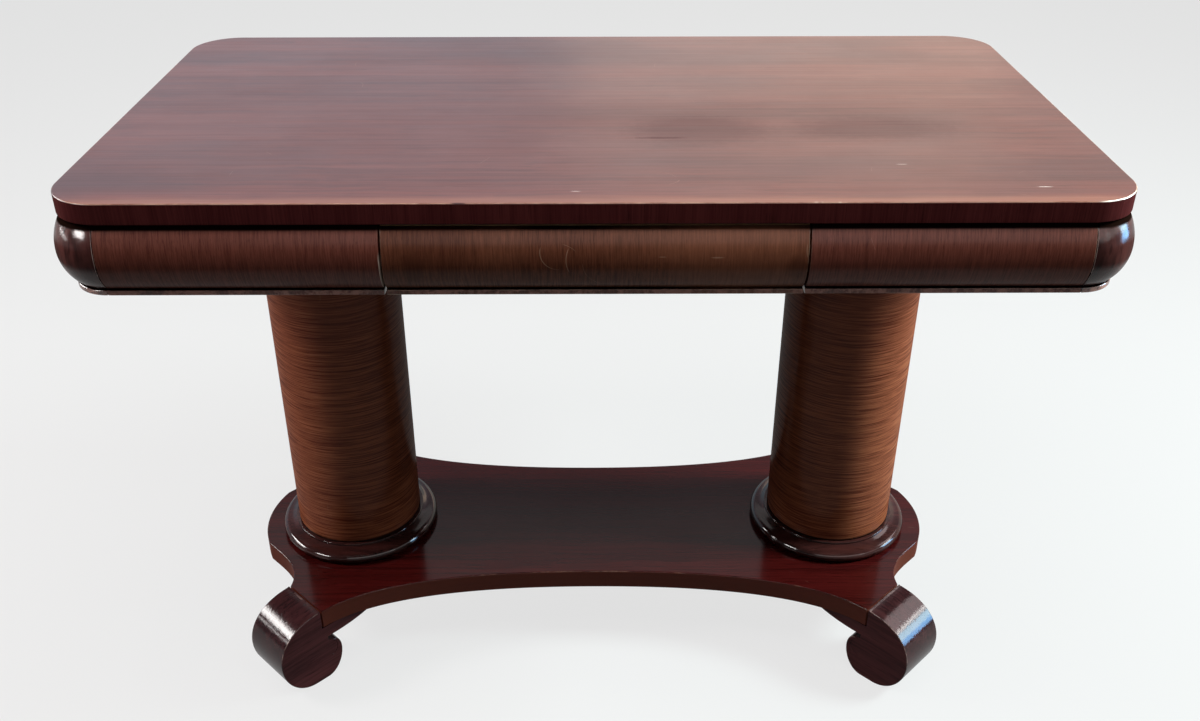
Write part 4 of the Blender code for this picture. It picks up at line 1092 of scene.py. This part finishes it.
apron_finish, end_finish = (
    moulding_veneer(name, grain, (APRON_DARK, APRON_LIGHT, APRON_WORN), APRON_GLOSS, waver=0.003, wear=0.6)
    for name, grain in (("crotch_veneer", APRON_GRAIN), ("end_veneer", END_GRAIN)))
end_x, end_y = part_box("apron_rear")[1].x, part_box("apron_end_right")[1].y
drawer_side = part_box("apron_front_right")[0].x
board_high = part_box("apron_rear")[1].z
tree, _, axes = on_object(apron_finish)
worn_end = product(
    tree,
    between(tree, axes["X"], -drawer_side - SEAM_RUB[0], -drawer_side - SEAM_RUB[1],
            -drawer_side, -drawer_side + SEAM_RUB_LAP),
    between(tree, axes["Z"], groove_high, groove_high + SEAM_RUB_LOW,
            crest_level, crest_level + SEAM_RUB_HIGH),
    calc(tree, "LESS_THAN", axes["Y"], 0.0))
stain(apron_finish, worn_end, SEAM_PALE)
RUNS = {
    "apron_front_left": ((-end_x, -crest_y), (-drawer_side, -crest_y)),
    "apron_front_right": ((drawer_side, -crest_y), (end_x, -crest_y)),
    "apron_end_right": ((crest_x, -end_y), (crest_x, end_y)),
    "apron_rear": ((end_x, crest_y), (-end_x, crest_y)),
    "apron_end_left": ((-crest_x, end_y), (-crest_x, -end_y)),
}
for node, (start, end) in RUNS.items():
    inset = (Vector(end) - Vector(start)).normalized() * SEAM_AIR
    start, end = Vector(start) + inset, Vector(end) - inset
    finish = end_finish if "end" in node else apron_finish
    finished(f"veneered_{node}", board_run(start, end, board_high, finish), [finish, poplar_x],
             "table", [node], veneered)

# Corner blocks
# Solid mahogany, turned to the apron's own moulding and sawn into quarters. Each is glued between two
# boards over its brace. They are dark, and the glossiest pieces of the apron.
CORNER_RADIUS = 0.0585
CORNER_CORE = 0.0015             # the sawn corner's own edge is this far from the turning's axis
CORNER_STEPS = 48
CORNER_DARK = (0.014, 0.0042, 0.0038, 1.0)
CORNER_LIGHT = (0.070, 0.0205, 0.0175, 1.0)
CORNER_WORN = (0.300, 0.220, 0.200, 1.0)
CORNER_GRAIN = (60.0, 60.0, 12.0)
CORNER_GLOSS = (0.17, 0.06, 0.67, 0.18)

corner_finish = moulding_veneer("corner_turning", CORNER_GRAIN, (CORNER_DARK, CORNER_LIGHT, CORNER_WORN),
                                CORNER_GLOSS, waver=0.010, wear=0.85)
corner_face = moulding_face(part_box("corner_block_rear_left")[1].z)
core = CORNER_CORE - CORNER_RADIUS
corner_section = [(core, apron_low)] + corner_face + [(core, corner_face[-1][1])]
for where, (side_x, side_y) in CORNERS.items():
    axis = (side_x * (crest_x - CORNER_RADIUS), side_y * (crest_y - CORNER_RADIUS), 0.0)
    quadrant = math.atan2(side_y, side_x) - math.pi / 4
    mesh = grown(MOULDING, {"Round": True, "Start": axis, "Radius": CORNER_RADIUS, "From": quadrant,
                            "Sweep": math.pi / 2, "Steps": CORNER_STEPS, "Finish": corner_finish},
                 section_mesh(corner_section))
    finished(f"corner_turning_{where}", eased(mesh, APRON_EASING), [corner_finish], "table",
             [f"corner_block_{where}"])

# Drawer
# The front is the apron's moulding with olive-brown veneer, worn at its ends by years of fingers. Its
# poplar sides are lapped into it with dovetails, and back and bottom complete the box, all left bare.
SOCKET_AIR = 0.0003
DRAWER_WASTE = 0.0008            # worn off each end of the front
DRAWER_DARK = (0.050, 0.0150, 0.0080, 1.0)
DRAWER_LIGHT = (0.124, 0.0415, 0.0222, 1.0)
DRAWER_WORN = (0.380, 0.250, 0.170, 1.0)
DRAWER_FLAME = (0.215, 0.0830, 0.0450, 1.0)
DRAWER_GRAIN = (720.0, 40.0, 40.0)
DRAWER_GLOSS = (0.26, 0.12, 0.27, 0.05)
DRAWER_SCRATCHES = [             # middle across and up, radius, lowest and highest point of each
    (-0.0374, 0.709, 0.0198, 0.690, 0.713),
    (0.0021, 0.700, 0.0322, 0.687, 0.712),
    (0.2600, 0.712, 0.0400, 0.704, 0.716),
]
SCRATCH_LINE = (0.0007, 0.0002)  # half width of a scratch, and of its full depth
SCRATCH_FADE = 0.003
SCRATCH_DEPTH = 0.35
DRAWER_MARKS = [                 # middle, half size, ragged edge, depth and colour of each patch and rub
    ((0.150, 0.0, 0.705), (0.110, 1.0, 0.090), 0.3, 0.32, DRAWER_FLAME),
    ((0.045, 0.0, 0.716), (0.060, 1.0, 0.040), 0.5, 0.12, DRAWER_FLAME),
    ((-0.100, 0.0, 0.716), (0.045, 1.0, 0.040), 0.5, 0.12, DRAWER_FLAME),
    ((-0.165, 0.0, 0.712), (0.060, 1.0, 0.060), 0.4, 0.30, DRAWER_DARK),
    ((0.128, 0.0, 0.7030), (0.0085, 1.0, 0.0011), 0.9, 0.30, DRAWER_WORN),
    ((0.070, 0.0, 0.7038), (0.0050, 1.0, 0.0006), 0.9, 0.30, DRAWER_WORN),
    ((0.212, 0.0, 0.690), (0.016, 1.0, 0.020), 0.8, 0.55, DRAWER_DARK),
    ((-0.190, 0.0, 0.690), (0.014, 1.0, 0.026), 0.8, 0.55, DRAWER_DARK),
]
FRAY_SCALE = 90.0
BLOT_CORE = 0.35                 # share of a mark's size that has its full depth


def swollen(node, air):
    """A copy of a solid, joined up and grown all round by a little air, to cut its seat with."""
    shape = joined(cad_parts[node].data)
    shape.normal_update()
    for vertex, shift in [(v, v.normal * v.calc_shell_factor() * air) for v in shape.verts]:
        vertex.co += shift
    return to_mesh(f"{node}_seat", shape)


def blot(tree, place, centre, size, ragged=0.0):
    """A soft oval mark about a place, with a ragged edge if one is wanted."""
    away = vector(tree, "DIVIDE", vector(tree, "SUBTRACT", place, centre), size)
    away = vector(tree, "LENGTH", away, (0.0, 0.0, 0.0), out="Value")
    fray = noise(tree, place, FRAY_SCALE, detail=3.0, roughness=0.6)
    fray = product(tree, calc(tree, "SUBTRACT", fray, 0.5), ragged)
    return span(tree, calc(tree, "ADD", away, fray), 1.0, BLOT_CORE)


drawer_finish = moulding_veneer("drawer_veneer", DRAWER_GRAIN, (DRAWER_DARK, DRAWER_LIGHT, DRAWER_WORN),
                                DRAWER_GLOSS, waver=0.004, wear=0.75)
tree, place, axes = on_object(drawer_finish)
upright = vector(tree, "MULTIPLY", place, (1.0, 0.0, 1.0))
for across, up, radius, low, high in DRAWER_SCRATCHES:
    away = vector(tree, "DISTANCE", upright, (across, 0.0, up), out="Value")
    line = span(tree, calc(tree, "ABSOLUTE", calc(tree, "SUBTRACT", away, radius)), *SCRATCH_LINE)
    ends = between(tree, axes["Z"], low - SCRATCH_FADE, low + SCRATCH_FADE,
                   high - SCRATCH_FADE, high + SCRATCH_FADE)
    near_side = calc(tree, "LESS_THAN", axes["X"], across)
    stain(drawer_finish, product(tree, line, near_side, ends, SCRATCH_DEPTH), DRAWER_WORN)
for mark, size, fray, depth, colour in DRAWER_MARKS:
    stain(drawer_finish, product(tree, blot(tree, upright, mark, size, fray), depth), colour)
front_low, front_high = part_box("drawer_front")
seats = [swollen(node, SOCKET_AIR) for node in ("drawer_side_left", "drawer_side_right", "drawer_bottom")]
mesh = board_run((front_low.x + DRAWER_WASTE, -crest_y), (front_high.x - DRAWER_WASTE, -crest_y),
                 front_high.z, drawer_finish, seats)
finished("veneered_drawer_front", mesh, [drawer_finish, poplar_x], "drawer",
         ["drawer_front"], veneered)
for node in ("drawer_side_left", "drawer_side_right"):
    dress(node, poplar_y)
for node in ("drawer_back", "drawer_bottom"):
    dress(node, poplar_x)

# Top
# A wide top veneered in plain mahogany with long grain, cross-banded upright round its edge and bare
# below. It is screwed up from the braces. The polish is bleached and rubbed along the front.
TOP_CORNER_RADIUS = 0.060
TOP_EASING = 0.0014
EDGE_DROP = 0.0016               # the edge's band starts this far under the surface
TOP_DARK = (0.040, 0.0086, 0.0070, 1.0)
TOP_LIGHT = (0.084, 0.0215, 0.0162, 1.0)
TOP_WORN = (0.420, 0.270, 0.200, 1.0)
TOP_GRAIN = (2.4, 150.0, 150.0)
TOP_GLOSS = (0.32, 0.10, 1.0, 0.02)
TOP_CLOUD = (0.034, 0.0130, 0.0140, 1.0)
CLOUD_GRAIN = (2.2, 6.0, 1.0)
CLOUD_LEVELS = (0.50, 0.72)
CLOUD_DEPTH = 0.6
TOP_RUBBED = (0.150, 0.0520, 0.0320, 1.0)
RUB_WIDTH = 0.022                # rubbed border along the front arris
RUB_GRAIN = (6.0, 60.0, 1.0)
RUB_DEPTH = 0.7
OPEN_GRAIN = (5.0, 330.0, 1.0)
OPEN_GRAIN_LEVELS = (0.38, 0.66)
OPEN_GRAIN_DULLS = 0.10          # share of the polish that has sunk into the open grain
STAIN_DULLS = 0.50               # share of it that a stain takes away
TOP_STAINS = [                   # middle, half size, ragged edge and depth of each darker patch
    ((0.121, -0.096, 0.762), (0.110, 0.075, 1.0), 0.3, 0.40),
    ((0.073, -0.122, 0.762), (0.042, 0.004, 1.0), 0.6, 0.60),
    ((0.330, -0.090, 0.762), (0.130, 0.060, 1.0), 0.3, 0.40),
    ((0.220, -0.050, 0.762), (0.460, 0.100, 1.0), 0.1, 0.28),
    ((-0.139, -0.3135, 0.762), (0.011, 0.0016, 1.0), 0.6, 0.90),
]
TOP_THROUGH = (0.80, 0.72, 0.66, 1.0)  # pale wood where the finish is rubbed or scratched through
TOP_SCRATCHES = [                # middle, half size and depth of each fine pale line
    ((0.472, -0.2740, 0.762), (0.0110, 0.0006, 1.0), 0.60),
    ((0.337, -0.2080, 0.762), (0.0080, 0.0005, 1.0), 0.60),
    ((-0.020, -0.2830, 0.762), (0.0070, 0.0005, 1.0), 0.60),
    ((0.226, -0.3130, 0.762), (0.0030, 0.0010, 1.0), 0.12),
    ((0.232, -0.3130, 0.762), (0.0020, 0.0010, 1.0), 0.10),
    ((0.250, -0.3132, 0.762), (0.0025, 0.0010, 1.0), 0.12),
]
RUBBED_CORNER_X = (0.062, 0.040)  # the front right corner is rubbed through, from these distances
RUBBED_CORNER_Y = (0.030, 0.015)
BAND_DARK = (0.034, 0.0050, 0.0052, 1.0)
BAND_LIGHT = (0.067, 0.0130, 0.0128, 1.0)
BAND_GRAIN = (420.0, 420.0, 9.0)
BAND_GLOSS = (0.32, 0.12, 0.05, 0.05)

half_x, half_y, top_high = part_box("top_panel")[1]
top_finish = mahogany("polished_top", TOP_GRAIN, (TOP_DARK, TOP_LIGHT, TOP_WORN), TOP_GLOSS,
                      waver=0.012, wear=0.75)
tree, place, axes = on_object(top_finish)


def drawn_out(grain, detail, roughness=0.5):
    """Noise on the top, drawn out along its grain."""
    return noise(tree, vector(tree, "MULTIPLY", place, grain), 1.0, detail, roughness)


cloud = span(tree, drawn_out(CLOUD_GRAIN, detail=3.0), *CLOUD_LEVELS)
stain(top_finish, product(tree, cloud, CLOUD_DEPTH), TOP_CLOUD)
from_front = calc(tree, "ADD", axes["Y"], half_y)
ragged = product(tree, drawn_out(RUB_GRAIN, detail=3.0), RUB_WIDTH)
rubbed = span(tree, calc(tree, "SUBTRACT", from_front, ragged), RUB_WIDTH / 2, -RUB_WIDTH / 3)
stain(top_finish, product(tree, rubbed, RUB_DEPTH), TOP_RUBBED)
open_grain = span(tree, drawn_out(OPEN_GRAIN, detail=4.0, roughness=0.6), *OPEN_GRAIN_LEVELS)
lost = product(tree, open_grain, OPEN_GRAIN_DULLS)
for mark, size, fray, depth in TOP_STAINS:
    patch = product(tree, blot(tree, place, mark, size, fray), depth)
    stain(top_finish, patch, TOP_CLOUD)
    lost = calc(tree, "ADD", lost, product(tree, patch, STAIN_DULLS))
dull(top_finish, calc(tree, "SUBTRACT", 1.0, lost, clamp=True))
for mark, size, depth in TOP_SCRATCHES:
    stain(top_finish, product(tree, blot(tree, place, mark, size), depth), TOP_THROUGH)
rubbed_corner = product(
    tree, add_node(tree, "ShaderNodeAttribute", out="Fac", attribute_name="arris"),
    span(tree, axes["X"], *(half_x - away for away in RUBBED_CORNER_X)),
    span(tree, axes["Y"], *(away - half_y for away in RUBBED_CORNER_Y)))
stain(top_finish, rubbed_corner, TOP_THROUGH)
edge_finish = mahogany("cross_banded_edge", BAND_GRAIN, (BAND_DARK, BAND_LIGHT, TOP_WORN), BAND_GLOSS,
                       waver=0.004, wear=0.1)
corner_x, corner_y = half_x - TOP_CORNER_RADIUS, half_y - TOP_CORNER_RADIUS
loop = []
for quarter, (side_x, side_y) in enumerate(((1, 1), (-1, 1), (-1, -1), (1, -1))):
    start = quarter * math.pi / 2
    loop += arc((side_x * corner_x, side_y * corner_y), TOP_CORNER_RADIUS, start, start + math.pi / 2)
shape = sawn_board(loop, top_low, top_high)
ease(shape, TOP_EASING)


def top_face(face):
    """Polish above, cross-banding round the edge, bare wood below."""
    if face.normal.z < -FLAT:
        return 2
    return int(face.calc_center_median().z < top_high - EDGE_DROP)


finished("polished_top", to_mesh("polished_top", shape), [top_finish, edge_finish, raw_finish], "table",
         ["top_panel"], top_face)

# Studio
# A plain pale floor, near white to the eye and in polish, that keeps the table's shadow. The walls and
# most lamps only show in the polish, as windows and a bright wall behind, and others light the wood.
FLOOR_SIZE = 60.0
FLOOR_COLOUR = (0.06, 0.06, 0.06, 1.0)
FLOOR_GLOW = 0.74
WORLD_FRONT = (0.07, 0.07, 0.073, 1.0)
WORLD_BACK_LEFT = (0.81, 0.96, 1.11, 1.0)
WORLD_BACK_RIGHT = (1.20, 1.11, 1.01, 1.0)
WORLD_BACK_HIGH = (1.08, 0.82, 0.94, 1.0)
WORLD_ABOVE = (0.10, 0.10, 0.10, 1.0)
LEFT_TO_RIGHT = (-0.15, 0.35)    # spans of a direction's axes over which the walls change
LOW_TO_HIGH = (0.40, 0.52)
FRONT_TO_BACK = (-0.35, 0.75)
LEVEL_TO_ABOVE = (0.40, 0.75)
WHITE, WARM, ROSE = (1.0, 0.97, 0.95), (1.0, 0.66, 0.45), (1.0, 0.86, 0.86)
SKY, PALE, COOL = (0.24, 0.56, 1.0), (0.55, 0.82, 1.0), (1.0, 1.22, 1.20)
IN_BOTH, IN_WOOD, IN_POLISH = (True, True), (True, False), (False, True)
LIGHTS = {                       # place, point that it faces, size, brightness, colour and what it lights
    "ceiling": ((0.0, -0.75, 3.0), (0.0, -0.4, 0.0), (2.6, 0.9), 9.6, WHITE, IN_BOTH),
    "left_fill": ((-2.3, -0.10, 1.95), (-0.4, 0.0, 0.3), (0.7, 0.8), 46.0, WHITE, IN_WOOD),
    "left_window": ((-2.56, 0.33, 1.48), (-0.4, -0.2, 0.1), (1.2, 0.45), 40.0, WHITE, IN_POLISH),
    "left_sill": ((-2.63, -0.16, 0.76), (-0.4, -0.2, 0.1), (1.0, 0.06), 30.0, WHITE, IN_POLISH),
    "left_lamp": ((-2.63, -0.26, 1.27), (-0.5, -0.3, 0.7), (0.25, 0.20), 50.0, WHITE, IN_POLISH),
    "left_front": ((-2.5, -1.85, 1.59), (-0.5, -0.3, 0.7), (1.0, 0.45), 50.0, WHITE, IN_POLISH),
    "right_fill": ((2.3, -0.08, 1.95), (0.4, 0.0, 0.3), (0.7, 0.8), 98.0, COOL, IN_WOOD),
    "right_window": ((3.40, 0.20, 1.98), (0.4, -0.2, 0.1), (1.2, 0.25), 30.0, WHITE, IN_POLISH),
    "right_glow": ((3.14, 1.07, 2.80), (0.4, -0.2, 0.1), (1.8, 1.3), 5.5, ROSE, IN_POLISH),
    "upper_pane": ((3.45, -0.25, 1.30), (0.5, -0.2, 0.4), (1.1, 0.80), 26.0, PALE, IN_POLISH),
    "lower_pane": ((3.45, -0.25, 0.62), (0.5, -0.2, 0.4), (1.1, 0.54), 24.0, SKY, IN_POLISH),
    "back_left": ((-2.0, 2.2, 3.0), (-0.3, 0.0, 0.2), (1.0, 0.6), 6.0, WHITE, IN_WOOD),
    "back_right": ((2.0, 2.2, 3.0), (0.3, 0.0, 0.2), (1.0, 0.6), 6.0, WHITE, IN_WOOD),
    "warm_wall": ((0.9, 4.0, 2.0), (0.3, 0.2, 0.76), (2.0, 0.5), 2.0, WARM, IN_BOTH),
    "back_top": ((0.0, 3.5, 3.35), (0.0, 0.0, 0.1), (4.0, 0.9), 0.8, WHITE, IN_POLISH),
    "front_wall": ((1.2, -4.0, 2.1), (0.0, -0.3, 0.7), (5.6, 1.9), 2.2, WHITE, IN_POLISH),
    "right_front": ((3.2, -1.7, 1.50), (0.5, -0.3, 0.7), (2.4, 0.6), 2.6, WHITE, IN_POLISH),
    "front_fill": ((0.1, -3.2, 1.8), (0.0, 0.0, 0.4), (1.6, 0.8), 2.4, WHITE, IN_WOOD),
}


def floor_paint():
    """Pale paper: grey to the light that it bounces, near white to the camera and in reflections."""
    material = bpy.data.materials.new("pale_floor")
    material.use_nodes = True
    tree = material.node_tree
    tree.nodes.remove(tree.nodes["Principled BSDF"])
    path = tree.nodes.new("ShaderNodeLightPath").outputs
    seen = calc(tree, "MAXIMUM", path["Is Camera Ray"], path["Is Glossy Ray"])
    seen = calc(tree, "MAXIMUM", seen, path["Is Transmission Ray"])
    glow = add_node(tree, "ShaderNodeEmission", {"Strength": product(tree, seen, FLOOR_GLOW)})
    paper = add_node(tree, "ShaderNodeBsdfDiffuse", {"Color": FLOOR_COLOUR})
    both = add_node(tree, "ShaderNodeAddShader", {0: paper, 1: glow})
    tree.links.new(both, tree.nodes["Material Output"].inputs["Surface"])
    return material


shape = bmesh.new()
bmesh.ops.create_grid(shape, x_segments=1, y_segments=1, size=FLOOR_SIZE / 2)
floor_mesh = to_mesh("floor", shape)
floor_mesh.materials.append(floor_paint())
in_scene("floor", floor_mesh)

world = bpy.data.worlds.new("studio")
bpy.context.scene.world = world
world.use_nodes = True
tree = world.node_tree
way = add_node(tree, "ShaderNodeTexCoord", out="Generated")
axes = add_node(tree, "ShaderNodeSeparateXYZ", {0: way}).node.outputs
walls = mixed(tree, span(tree, axes["X"], *LEFT_TO_RIGHT), WORLD_BACK_LEFT, WORLD_BACK_RIGHT)
walls = mixed(tree, span(tree, axes["Z"], *LOW_TO_HIGH), walls, WORLD_BACK_HIGH)
walls = mixed(tree, span(tree, axes["Y"], *FRONT_TO_BACK), WORLD_FRONT, walls)
walls = mixed(tree, span(tree, axes["Z"], *LEVEL_TO_ABOVE), walls, WORLD_ABOVE)
tree.links.new(walls, tree.nodes["Background"].inputs["Color"])
world.cycles_visibility.diffuse = False

for name, (place, aim, size, brightness, colour, (in_wood, in_polish)) in LIGHTS.items():
    lamp = bpy.data.lights.new(name, "AREA")
    lamp.shape = "RECTANGLE"
    lamp.size, lamp.size_y = size
    lamp.energy = brightness * math.pi * size[0] * size[1]
    lamp.color = colour
    stand = in_scene(name, lamp)
    stand.location = place
    stand.rotation_euler = (Vector(aim) - Vector(place)).to_track_quat("-Z", "Y").to_euler()
    stand.visible_camera = False
    stand.visible_diffuse = in_wood
    stand.visible_glossy = in_polish

# Camera
# It stands in front of the table, a little above desk height, as the photograph's did. The lens is
# shifted by the few pixels that the photograph's framing needs.
CAMERA_PLACE = (-0.00687, -1.4411, 1.2367)
CAMERA_PITCH = 0.5212            # looking down, in radians
CAMERA_YAW = 0.0026
CAMERA_ROLL = 0.0017
SENSOR_WIDTH = 36.0
FOCAL_PIXELS = 1191.7
IMAGE_SIZE = (1200, 721)
IMAGE_MIDDLE = (591.3, 349.7)    # the pixel that the lens points at

view = bpy.data.cameras.new("camera")
view.sensor_width = SENSOR_WIDTH
view.lens = FOCAL_PIXELS / IMAGE_SIZE[0] * SENSOR_WIDTH
view.shift_x = (IMAGE_SIZE[0] / 2 - IMAGE_MIDDLE[0]) / IMAGE_SIZE[0]
view.shift_y = (IMAGE_MIDDLE[1] - IMAGE_SIZE[1] / 2) / IMAGE_SIZE[0]
camera = in_scene("camera", view)
camera.location = CAMERA_PLACE
look = Matrix.Rotation(-CAMERA_YAW, 4, "Z") @ Matrix.Rotation(math.pi / 2 - CAMERA_PITCH, 4, "X")
camera.rotation_euler = (look @ Matrix.Rotation(-CAMERA_ROLL, 4, "Z")).to_euler()
bpy.context.scene.camera = camera
bpy.context.scene.view_settings.view_transform = "Standard"
